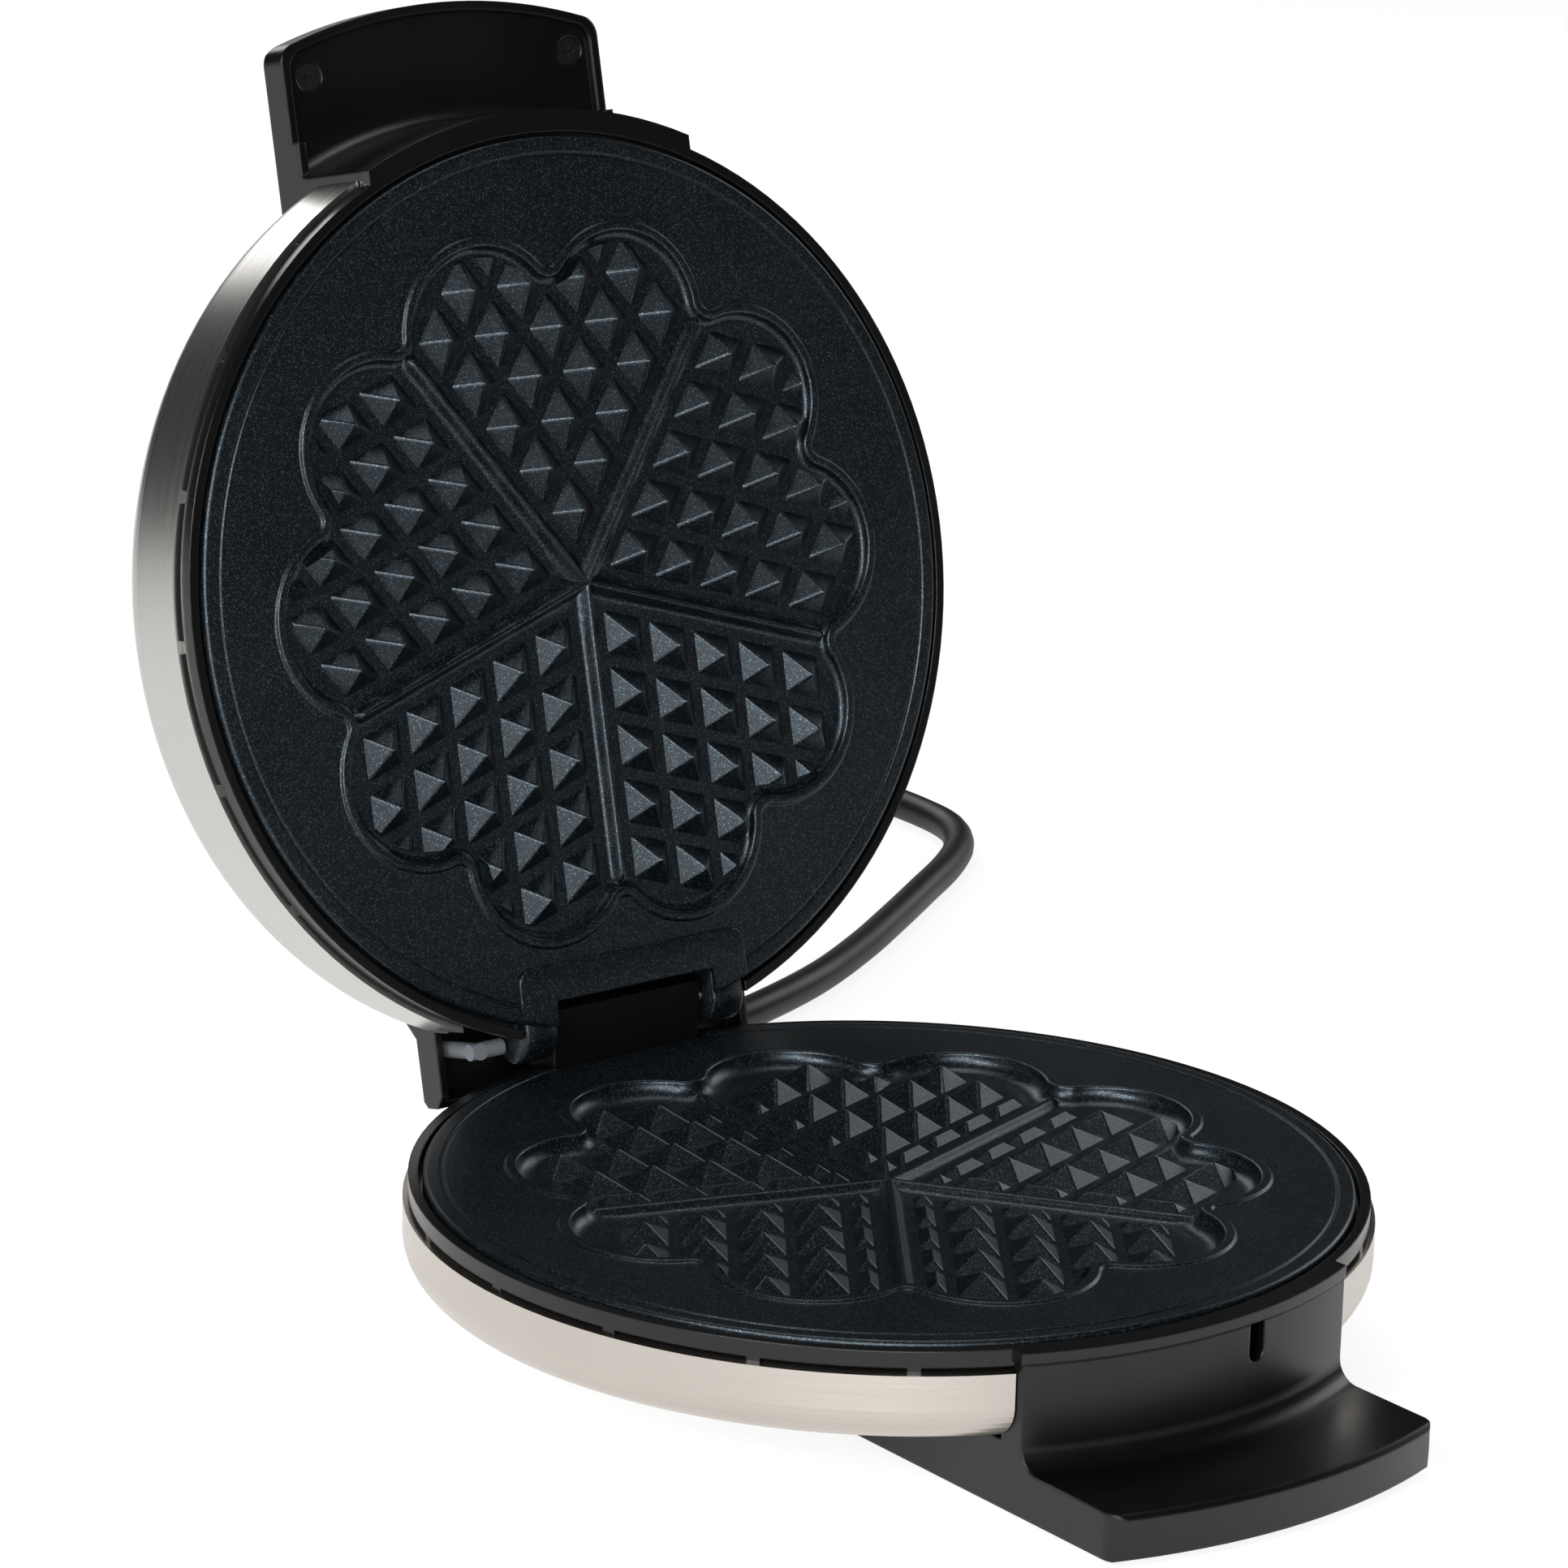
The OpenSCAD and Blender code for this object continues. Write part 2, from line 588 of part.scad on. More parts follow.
module base_leads() {
    color([0.85, 0.85, 0.8]) base_half() {
        for (s = [-1, 1]) {
            rod(s * lead_x, lead_y, heater_h + lead_r + 0.4, lead_turn_h + lead_r, lead_r);
            rod_x(s > 0 ? block_size[0] / 2 : -lead_x - lead_r, s > 0 ? lead_x + lead_r : -block_size[0] / 2,
                lead_y, lead_turn_h, lead_r);
        }
        // cores from the mains lead to the block
        for (x = [-3, 0, 3]) rod_y(block_y + block_size[1] / 2, hood_back - 30, gland_x - 20 + x,
            lead_turn_h, lead_r);
        box([gland_x - 24.2, hood_back - 30, lead_turn_h - lead_r],
            [gland_x + cord_r, hood_back - 28, lead_turn_h + lead_r]);
        // end of the lead's sheath, in the clamp
        rod_y(hood_back - 28, hood_back - wall_t - 6, gland_x, gland_h, cord_r);
    }
}

module thermal_fuse() {
    color([0.8, 0.8, 0.82]) base_half() {
        rod_x(-8, 8, 0, plate_t + 2.3, 2.3);
        difference() {
            box([-3, -5, plate_t], [3, 5, plate_t + 5.4]);
            rod_x(-4, 4, 0, plate_t + 2.3, 2.2);
        }
    }
}

module earth_tag() {
    color(brass_c) base_half() {
        rod(earth_xy[0], earth_xy[1], base_shell_d, base_shell_d + 2.2, head_r);
        rod(earth_xy[0], earth_xy[1], base_shell_d - sheet_t - 1.5, base_shell_d + 1, screw_r);
        translate(concat(earth_xy, base_shell_d + 1)) box([-3, 0, -0.4], [3, 14, 0.4]);
    }
}

module cord_clamp() {
    color(black) base_half() difference() {
        box([gland_x - 8.5, hood_back - 26, gland_h + 0.2], [gland_x + 8.5, hood_back - 18, cover_top]);
        rod_y(hood_back - 30, hood_back - 10, gland_x, gland_h, cord_r + eps);
    }
}

module cord_gland() {
    color(black) base_half() difference() {
        union() {
            translate([gland_x, hood_back - wall_t - 6, gland_h]) rotate([-90, 0, 0])
                cylinder(r = gland_r, h = gland_len / 2 + wall_t + 6);
            translate([gland_x, hood_back + gland_len / 2, gland_h]) rotate([-90, 0, 0])
                cylinder(r1 = gland_r, r2 = cord_r + 0.8, h = gland_len / 2);
            translate([gland_x, hood_back + fit, gland_h]) rotate([-90, 0, 0])
                cylinder(r = gland_r + 1, h = 2);
        }
        for (i = [0:2]) translate([gland_x, hood_back + 5 + 4 * i, gland_h]) rotate([-90, 0, 0])
            difference() {
            cylinder(r = gland_r + 3, h = 1.2);
            translate([0, 0, -1]) cylinder(r = cord_r + 0.5, h = 4);
        }
    }
}

// ---- Lid ----
module lid_shell() {
    color(steel) lid_half() difference() {
        shell(lid_shell_d);
        box([-handle_hw - seam, -band_r - 5, 0], [handle_hw + seam, -shell_cut_y, lid_shell_d + 1]);
        box([-handle_hw - seam, shell_cut_y, 0], [handle_hw + seam, band_r + 5, lid_shell_d + 1]);
        holes(concat(lid_front_screw_xy, lid_rear_screw_xy), screw_r + screw_fit, 20, lid_shell_d + 1);
        holes([[0, stat_y]], spindle_r + 1, 20, lid_shell_d + 1);
        holes([[lamp_x, stat_y - 6]], lead_r + 1, 20, lid_shell_d + 1);
    }
}

module lid_vent_ring() { color(black) lid_half() vent_ring(ear_x + ear_w + 1, plate_r / 2); }

module upper_plate() {
    boss_top = lid_shell_d - sheet_t;
    color(coating) lid_half() difference() {
        plate(lid_notch_hw, lid_notch_y) {
            // raised land in front of the hinge
            intersection() {
                translate([0, 0, -0.7]) cylinder(r = plate_r - 0.5, h = 2);
                box([-33, hinge_y - 15.7, -1], [33, plate_r, 2]);
            }
            // hinge ears
            for (s = [-1, 1]) scale_x(s) {
                rod_x(ear_x, ear_x + ear_w, hinge_y, hinge_z - closed_gap, ear_r);
                box([ear_x, plate_r - 14, 0], [ear_x + ear_w, hinge_y, hinge_z - closed_gap]);
            }
            for (p = lid_front_screw_xy) rod(p[0], p[1], plate_t - 1, boss_top, boss_r);
            for (p = lid_rear_screw_xy) rod(p[0], p[1], plate_rim_t - 1, boss_top, boss_r);
        }
        holes(concat(lid_front_screw_xy, lid_rear_screw_xy), screw_r + screw_fit,
            boss_top - 12, boss_top + 1);
        for (s = [-1, 1]) scale_x(s)
            rod_x(0, ear_x + ear_w - 0.7, hinge_y, hinge_z - closed_gap, pin_r + pin_clear);
    }
}

module upper_heater() { color(zinc) lid_half() heater(); }
module upper_heater_clips() { color(zinc) lid_half() heater_clips(); }
module upper_reflector() { color(zinc) lid_half() reflector([]); }

// Top and side walls of the console, as [y, height] points
function console_section(inset) = [[-plate_r - 5, lid_shell_d + fit - (inset > 0 ? 2 : 0)],
    [-plate_r - 5, lid_handle_d - inset], [-console_reach - inset, lid_handle_d - inset],
    [-console_reach + 14 - 1.6 * inset, lid_shell_d + fit - (inset > 0 ? 2 : 0)]];

module lid_handle() {
    top = lid_handle_d;
    color(black) lid_half() difference() {
        union() {
            intersection() {
                rotate_extrude() polygon(concat(
                    [[plate_r - 14, lid_wall_top], [neck_r, lid_wall_top]],
                    arc([neck_r + neck_fillet_r, lid_shelf_d - neck_fillet_r], neck_fillet_r, 180, 90),
                    [[handle_reach, lid_shelf_d], [handle_reach, top - edge_break],
                     [handle_reach - edge_break, top], [plate_r - 14, top]]));
                linear_extrude(top + 1) handle_plan(0);
                box([-handle_hw, -handle_reach - 1, 0], [handle_hw, -shell_cut_y - fit, top + 1]);
            }
            across(handle_hw) polygon(console_section(0));
        }
        // hollow behind the panel
        difference() {
            slab(-1, top - wall_t) handle_plan(wall_t);
            for (p = panel_screw_xy) rod(p[0], p[1], panel_h + panel_t + fit, top, boss_r);
            box([-handle_w, -shell_cut_y - 1.5, -2], [handle_w, 0, top]);
        }
        intersection() {
            across(inner_hw) polygon(console_section(wall_t));
            box([-handle_w, -plate_r - 4, 0], [handle_w, 0, top]);
        }
        box([-inner_hw, -plate_r - 4, lid_wall_top - 1], [inner_hw, -shell_cut_y + 1, top - wall_t]);
        translate([0, 0, lid_wall_top - 1])
            cylinder(r = lip_out_r + fit, h = lip_bottom + 0.5 + fit - lid_wall_top + 1);
        holes(panel_screw_xy, screw_r + screw_fit, panel_h, top - 0.8);
        holes([[0, stat_y]], spindle_r + 0.3, lid_shell_d, top + 1);
        holes([[lamp_x, stat_y]], lens_r + fit, lid_shell_d + 1, top + 1);
    }
}

module lid_handle_panel() {
    color(black) lid_half() difference() {
        intersection() {
            rotate_extrude() polygon(concat(
                [[neck_r - wall_t, lid_wall_top], [neck_r, lid_wall_top]],
                arc([neck_r + neck_fillet_r, panel_h - neck_fillet_r], neck_fillet_r, 180, 90),
                [[handle_reach, panel_h], [handle_reach, panel_h + panel_t],
                 [neck_r - wall_t, panel_h + panel_t]]));
            linear_extrude(lid_handle_d) handle_plan(wall_t + fit);
        }
        holes(panel_screw_xy, screw_r + screw_fit, panel_h - 1, panel_h + panel_t + 1);
        holes(panel_screw_xy, head_r + fit, panel_h - 1, panel_h + 1);
        intersection() {
            cylinder(r = neck_r - wall_t - eps, h = lid_handle_d);
            box([-handle_w, -neck_r, 0], [handle_w, 0, lid_handle_d]);
        }
    }
}

module lid_handle_screws() {
    color(zinc) lid_half() for (p = panel_screw_xy) difference() {
        union() {
            rod(p[0], p[1], panel_h + 0.2, panel_h + 1, head_r);
            rod(p[0], p[1], panel_h + 0.5, lid_handle_d - 1, screw_r);
        }
        // cross recess
        for (a = [0, 90]) translate([p[0], p[1], panel_h]) rotate(a) cube([3.2, 0.8, 1.4], center = true);
    }
}

module lid_plate_screws() {
    color(zinc) lid_half() for (p = lid_front_screw_xy)
        screw(p[0], p[1], lid_shell_d + 2, lid_shell_d - lid_screw_len);
}

module lid_hood() {
    skin = 2;
    tongue_h = lid_shell_d + fit;
    tongue_y = lid_rear_screw_xy[0][1] - 6;
    color(black) lid_half() difference() {
        across(handle_hw) polygon([[shell_cut_y + 1.5, hood_low - 6], [shell_cut_y + 5, hood_low - 6],
            [shell_cut_y + 5, hood_low], [hood_back - 3, hood_low], [hood_back, hood_low + 2.5],
            [hood_back, hood_h - 1.5], [hood_back - 1.5, hood_h], [shell_cut_y + 7, hood_h],
            [shell_cut_y + 2, tongue_h + skin], [tongue_y, tongue_h + skin], [tongue_y, tongue_h],
            [shell_cut_y + 1.5, tongue_h]]);
        box([-handle_hw + skin, shell_cut_y + 5, hood_low - 10],
            [handle_hw - skin, hood_back - skin, hood_h - skin]);
        box([-handle_hw + 6, shell_cut_y, hood_low - 10], [handle_hw - 6, shell_cut_y + 6, hood_h - skin]);
        holes(lid_rear_screw_xy, screw_r + screw_fit, lid_shell_d - 1, tongue_h + skin + 1);
    }
}

module lid_hood_screws() {
    color(zinc) lid_half() for (p = lid_rear_screw_xy)
        screw(p[0], p[1], lid_shell_d + fit + 4.02, lid_shell_d - lid_screw_len);
}

module thermostat() {
    color([0.85, 0.82, 0.75]) lid_half() difference() {
        box([-stat_size[0] / 2, stat_y - stat_size[1] / 2, stat_h],
            [stat_size[0] / 2, stat_y + stat_size[1] / 2, stat_h + stat_size[2]]);
        rod(0, stat_y, stat_h + stat_size[2] - 3, stat_h + stat_size[2] + 1, spindle_r + eps);
    }
}

module thermostat_bracket() {
    back = stat_y - stat_size[1] / 2 - 2;
    color(zinc) lid_half() across(stat_size[0] / 2) polygon([[back, plate_rim_t], [back + 9, plate_rim_t],
        [back + 9, plate_rim_t + 1], [back + 1, plate_rim_t + 1], [back + 1, stat_h - 1],
        [stat_y + stat_size[1] / 2, stat_h - 1], [stat_y + stat_size[1] / 2, stat_h], [back, stat_h]]);
}

module ready_lamp_lens() {
    color([0.85, 0.25, 0.1]) lid_half() {
        rod(lamp_x, stat_y, lid_handle_d - wall_t - 1.2, lid_handle_d + 0.8, lens_r);
        rod(lamp_x, stat_y, lid_handle_d - wall_t - 1.4, lid_handle_d - wall_t - fit, lens_r + 1);
    }
}

module ready_lamp() {
    color([0.9, 0.9, 0.85]) lid_half() {
        rod(lamp_x, stat_y, lid_shell_d, lid_handle_d - wall_t - 1.6, 2.6);
        rod(lamp_x, stat_y, lid_shell_d, lid_shell_d + 2, 4.5);
    }
}

module lid_leads() {
    run_h = reflector_h + 3;
    color([0.85, 0.85, 0.8]) lid_half() {
        for (s = [-1, 1]) rod(s * lead_x, lead_y, heater_h + lead_r + 0.4, run_h + lead_r, lead_r);
        // to the thermostat
        rod_x(-lead_x - lead_r, -8, lead_y, run_h, lead_r);
        rod_y(stat_y + stat_size[1] / 2, lead_y + lead_r, -8 - lead_r, run_h, lead_r);
        // to the hinge
        rod_y(lead_y - lead_r, shell_cut_y + 3, lead_x, run_h, lead_r);
    }
}

module hinge_wire_sleeve() {
    y = hinge_y + 2.6;
    h = hinge_z - closed_gap + 4;
    color([0.85, 0.86, 0.88]) lid_half() {
        rod_x(-ear_x - ear_w - 9.5, -ear_x - ear_w - 0.4, y, h, 2);
        rod(-ear_x - ear_w - 7.5, y, h - 2, hood_h - 2.3, 2);
    }
}

// ---- Knob ----
module browning_knob() {
    h0 = lid_handle_d + knob_gap;
    color(black) lid_half() difference() {
        union() {
            rod(0, stat_y, h0, h0 + 2, knob_r);
            rod(0, stat_y, h0, h0 + knob_h - 2.5, knob_r - 2);
            box([-2.5, stat_y - knob_r + 2.5, h0], [2.5, stat_y + knob_r - 2.5, h0 + knob_h]);
        }
        rod(0, stat_y, h0 - 1, h0 + 4, spindle_r + 0.03);
    }
}

module thermostat_spindle() {
    color(zinc) lid_half()
        rod(0, stat_y, stat_h + stat_size[2] - 2.9, lid_handle_d + knob_gap + 3.9, spindle_r);
}

// ---- Mains lead ----
module mains_cord() {
    color(black) base_world() tube(smooth(cord_route, 2), cord_r, [0, 1, 0], [0, 1, 0]);
}
module cord_coil() {
    color(black) base_world() translate([coil_mid[0], coil_mid[1], -base_bottom])
        rotate_extrude() translate([coil_r - cord_r, 0])
            square([2 * cord_r, coil_turns * coil_pitch + 2 * cord_r]);
}
module cord_tail() {
    color(black) base_world() tube(tail_route, cord_r, [-1, 0, 0], [-1, 0, 0]);
}
module mains_plug() {
    color(black) base_world() translate([plug_x, plug_y, plug_z]) rotate([0, -90, 0]) {
        cylinder(r1 = 6.5, r2 = 12, h = 15);
        translate([0, 0, 15]) cylinder(r = plug_r - 1, h = 4);
        translate([0, 0, 19]) cylinder(r = plug_r, h = 16);
    }
}
module plug_pins() {
    color(zinc) base_world() translate([plug_x, plug_y, plug_z]) rotate([0, -90, 0])
        for (y = [-9.5, 9.5]) translate([0, y, 35]) cylinder(r = 2.4, h = 19);
}

base_saddle();
base_shell();
base_vent_ring();
lower_plate();
lower_heater();
lower_heater_clips();
lower_reflector();
lower_plate_screws();
bottom_cover();
bottom_cover_screws();
rubber_feet();
hinge_pin();
terminal_block();
base_leads();
thermal_fuse();
earth_tag();
cord_clamp();
cord_gland();
lid_shell();
lid_vent_ring();
upper_plate();
upper_heater();
upper_heater_clips();
upper_reflector();
lid_handle();
lid_handle_panel();
lid_handle_screws();
lid_plate_screws();
lid_hood();
lid_hood_screws();
thermostat();
thermostat_bracket();
ready_lamp_lens();
ready_lamp();
lid_leads();
hinge_wire_sleeve();
browning_knob();
thermostat_spindle();
mains_cord();
cord_coil();
cord_tail();
mains_plug();
plug_pins();
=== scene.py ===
import json
import math
import bpy
import numpy as np
from mathutils import Matrix, Vector


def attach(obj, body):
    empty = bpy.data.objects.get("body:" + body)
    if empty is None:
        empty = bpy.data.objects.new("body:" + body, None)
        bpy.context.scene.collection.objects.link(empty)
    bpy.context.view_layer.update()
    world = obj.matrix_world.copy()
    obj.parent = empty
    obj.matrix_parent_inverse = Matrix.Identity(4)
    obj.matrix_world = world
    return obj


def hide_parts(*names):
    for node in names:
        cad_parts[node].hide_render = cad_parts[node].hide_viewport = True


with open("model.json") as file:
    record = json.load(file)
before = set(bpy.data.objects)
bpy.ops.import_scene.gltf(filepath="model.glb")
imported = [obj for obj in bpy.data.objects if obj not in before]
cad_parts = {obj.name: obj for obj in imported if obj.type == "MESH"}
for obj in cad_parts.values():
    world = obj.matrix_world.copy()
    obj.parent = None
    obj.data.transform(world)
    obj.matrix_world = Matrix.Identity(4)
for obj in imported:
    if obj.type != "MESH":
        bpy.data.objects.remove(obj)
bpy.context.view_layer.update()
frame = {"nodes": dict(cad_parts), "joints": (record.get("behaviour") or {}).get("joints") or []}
cadNodes = frame["nodes"]
print("frame loaded:", len(cadNodes), "nodes")

mm = 0.001

# where the two halves stand
# Half coordinates are millimetres: x across, y to the back, h from the plate face into the housing.
hinge = [j for j in frame["joints"] if j["name"] == "lid_hinge"][0]
stand = {"faceHeight": 39.5, "hingeBack": 102.7, "hingeUp": 9.0, "shutGap": 1.5,
         "openAngle": math.radians(hinge["range_deg"][1])}
stand["middleBack"] = stand["hingeBack"] - hinge["pos_m"][1] / mm


def baseMap(p):
    # base: y moves forward to the frame's middle, and height is the face height minus h
    p = np.asarray(p, float)
    return np.stack([p[..., 0], p[..., 1] - stand["middleBack"], stand["faceHeight"] - p[..., 2]], -1) * mm


def baseTurn(n):
    return np.asarray(n, float) * np.array([1.0, 1.0, -1.0])


def lidTurn(n):
    # the lid's directions: turned back about the x axis by the open angle
    n = np.asarray(n, float)
    c, s = math.cos(stand["openAngle"]), math.sin(stand["openAngle"])
    return np.stack([n[..., 0], c * n[..., 1] + s * n[..., 2], c * n[..., 2] - s * n[..., 1]], -1)


def lidMap(p):
    # lid: measured from the hinge line, turned, and put back at the hinge line
    p = np.asarray(p, float)
    fromHinge = p - np.array([0.0, stand["hingeBack"], stand["hingeUp"] - stand["shutGap"]])
    return (lidTurn(fromHinge) + np.array([0.0, stand["hingeBack"] - stand["middleBack"],
                                           stand["faceHeight"] + stand["hingeUp"]])) * mm


halves = {"base": (baseMap, baseTurn, -1), "lid": (lidMap, lidTurn, 1)}

# camera
cameraSettings = {"place": (-0.8131, -1.0138, 0.5028), "ahead": (0.59464, 0.75364, -0.28004),
                  "up": (0.15331, 0.23563, 0.95967), "lens": 138.36, "sensor": 36.0, "near": 0.05, "far": 50.0}


def makeCamera():
    # looks along "ahead", with right = ahead x up
    data = bpy.data.cameras.new("camera")
    data.sensor_width = cameraSettings["sensor"]
    data.lens = cameraSettings["lens"]
    data.clip_start = cameraSettings["near"]
    data.clip_end = cameraSettings["far"]
    camera = bpy.data.objects.new("camera", data)
    bpy.context.scene.collection.objects.link(camera)
    ahead = Vector(cameraSettings["ahead"]).normalized()
    right = ahead.cross(Vector(cameraSettings["up"])).normalized()
    up = right.cross(ahead)
    turn = Matrix((right, up, -ahead)).transposed().to_4x4()
    camera.matrix_world = Matrix.Translation(cameraSettings["place"]) @ turn
    bpy.context.scene.camera = camera


makeCamera()
bpy.context.scene.view_settings.view_transform = "Standard"

# mesh helpers


def gridFaces(rows, columns, wrap=False):
    # quads between neighbouring rows and columns of a grid of points; wrap joins the last column to the first
    i = np.arange(rows - 1)[:, None]
    j = np.arange(columns if wrap else columns - 1)[None, :]
    k = (j + 1) % columns
    return np.stack([i * columns + j, i * columns + k, (i + 1) * columns + k, (i + 1) * columns + j],
                    -1).reshape(-1, 4)


def newPiece(name, points, faces, body, material, normals=None, angle=None):
    # points and faces become one smooth piece riding on a body; edges sharper than the angle stay sharp
    mesh = bpy.data.meshes.new(name)
    points = np.asarray(points, np.float64).reshape(-1, 3)
    if isinstance(faces, np.ndarray):
        size = faces.shape[1]
        mesh.vertices.add(len(points))
        mesh.vertices.foreach_set("co", points.ravel())
        mesh.loops.add(faces.size)
        mesh.loops.foreach_set("vertex_index", faces.ravel())
        mesh.polygons.add(len(faces))
        mesh.polygons.foreach_set("loop_start", np.arange(0, faces.size, size))
        mesh.polygons.foreach_set("loop_total", np.full(len(faces), size))
    else:
        mesh.from_pydata(points.tolist(), [], faces)
    mesh.update(calc_edges=True)
    mesh.validate()
    mesh.polygons.foreach_set("use_smooth", [True] * len(mesh.polygons))
    if angle:
        mesh.set_sharp_from_angle(angle=math.radians(angle))
    if normals is not None:
        normals = np.asarray(normals, np.float64).reshape(-1, 3)
        mesh.normals_split_custom_set_from_vertices(normals.tolist())
    piece = bpy.data.objects.new(name, mesh)
    bpy.context.scene.collection.objects.link(piece)
    mesh.materials.append(material)
    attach(piece, body)
    return piece


# shader helpers


def newMaterial(name):
    material = bpy.data.materials.new(name)
    material.use_nodes = True
    nodes = material.node_tree.nodes
    nodes.clear()
    out = nodes.new("ShaderNodeOutputMaterial")
    out.location = (600, 0)
    shader = nodes.new("ShaderNodeBsdfPrincipled")
    shader.location = (300, 0)
    material.node_tree.links.new(shader.outputs["BSDF"], out.inputs["Surface"])
    return material, nodes, material.node_tree.links, shader


def addNode(nodes, kind, where, **values):
    # each value goes to the socket of that name, or else to the node's own setting
    node = nodes.new(kind)
    node.location = where
    for key, value in values.items():
        if key in node.inputs:
            node.inputs[key].default_value = value
        else:
            setattr(node, key, value)
    return node


def addSpread(nodes, where, low, high):
    # stretches the values between low and high over the range that comes next
    return addNode(nodes, "ShaderNodeMapRange", where, **{"From Min": low, "From Max": high})


def mixColors(nodes, where, first, second):
    # a mix of two colours, whose colour sockets share their names and so go by place; gives its share and result
    mix = addNode(nodes, "ShaderNodeMix", where, data_type="RGBA")
    mix.inputs[6].default_value = first
    mix.inputs[7].default_value = second
    return mix.inputs[0], mix.outputs[2]


print("helpers ready")

# shared effects


def newGroup(name, inputs, outputs):
    group = bpy.data.node_groups.new(name, "ShaderNodeTree")
    for label, kind, value in inputs:
        socket = group.interface.new_socket(name=label, in_out="INPUT", socket_type=kind)
        if value is not None:
            socket.default_value = value
    for label, kind in outputs:
        group.interface.new_socket(name=label, in_out="OUTPUT", socket_type=kind)
    start = group.nodes.new("NodeGroupInput")
    start.location = (-900, 0)
    end = group.nodes.new("NodeGroupOutput")
    end.location = (700, 0)
    return group, start, end


def placeGroup(nodes, group, where, **values):
    node = nodes.new("ShaderNodeGroup")
    node.node_tree = group
    node.location = where
    for key, value in values.items():
        node.inputs[key].default_value = value
    return node


def makeGrain():
    # fine even grain: noise at one scale, as a mask and as a bumped normal
    group, start, end = newGroup(
        "grain",
        [("Vector", "NodeSocketVector", None), ("Scale", "NodeSocketFloat", 900.0),
         ("Depth", "NodeSocketFloat", 0.00003)],
        [("Mask", "NodeSocketFloat"), ("Normal", "NodeSocketVector")])
    noise = addNode(group.nodes, "ShaderNodeTexNoise", (-600, 0), Detail=3.0, Roughness=0.6)
    bump = addNode(group.nodes, "ShaderNodeBump", (0, -200), Strength=1.0)
    link = group.links.new
    link(start.outputs["Vector"], noise.inputs["Vector"])
    link(start.outputs["Scale"], noise.inputs["Scale"])
    link(noise.outputs["Fac"], end.inputs["Mask"])
    link(noise.outputs["Fac"], bump.inputs["Height"])
    link(start.outputs["Depth"], bump.inputs["Distance"])
    link(bump.outputs["Normal"], end.inputs["Normal"])
    return group


def makeHandling():
    # slow patches of wiping and handling: one broad noise, squeezed between two values
    group, start, end = newGroup(
        "handling",
        [("Vector", "NodeSocketVector", None), ("Scale", "NodeSocketFloat", 25.0),
         ("Low", "NodeSocketFloat", 0.3), ("High", "NodeSocketFloat", 0.4)],
        [("Value", "NodeSocketFloat"), ("Mask", "NodeSocketFloat")])
    noise = addNode(group.nodes, "ShaderNodeTexNoise", (-600, 0), Detail=4.0, Roughness=0.55)
    spread = addSpread(group.nodes, (-300, 0), 0.3, 0.7)
    link = group.links.new
    link(start.outputs["Vector"], noise.inputs["Vector"])
    link(start.outputs["Scale"], noise.inputs["Scale"])
    link(noise.outputs["Fac"], spread.inputs["Value"])
    link(start.outputs["Low"], spread.inputs["To Min"])
    link(start.outputs["High"], spread.inputs["To Max"])
    link(spread.outputs["Result"], end.inputs["Value"])
    link(noise.outputs["Fac"], end.inputs["Mask"])
    return group


grainGroup = makeGrain()
handlingGroup = makeHandling()

# finishes
coatingLook = {"base": (0.0016, 0.0023, 0.0029, 1), "fleck": (0.11, 0.15, 0.19, 1), "fleckScale": 4600.0,
               "fleckFrom": 0.86, "roughness": (0.33, 0.38), "patch": 40.0, "grain": 2400.0, "depth": 0.000035,
               "specular": 0.5, "tint": (0.75, 0.9, 1.0, 1)}
plasticLook = {"color": (0.0018, 0.0019, 0.0020, 1), "roughness": (0.25, 0.34), "grain": 2200.0,
               "depth": 0.000012, "specular": 0.5, "edge": 0.0009}
ringLook = {"color": (0.0030, 0.0031, 0.0030, 1), "roughness": (0.20, 0.28), "grain": 1500.0, "depth": 0.000006,
            "specular": 0.5, "edge": 0.0005}
steelLook = {"color": (0.66, 0.61, 0.555, 1), "lidColor": (0.64, 0.625, 0.60, 1), "roughness": (0.25, 0.36),
             "lines": 0.000012, "stretch": (2.2, 3200.0, 3200.0), "patch": 9.0, "worn": 0.90}
rubberLook = {"color": (0.006, 0.006, 0.006, 1), "roughness": (0.40, 0.50), "grain": 1800.0, "depth": 0.00002}
mouldedPatch = 22.0  # scale of the slow change of gloss on mouldings
mouldedWorn = 1.35  # how much lighter the handled patches are


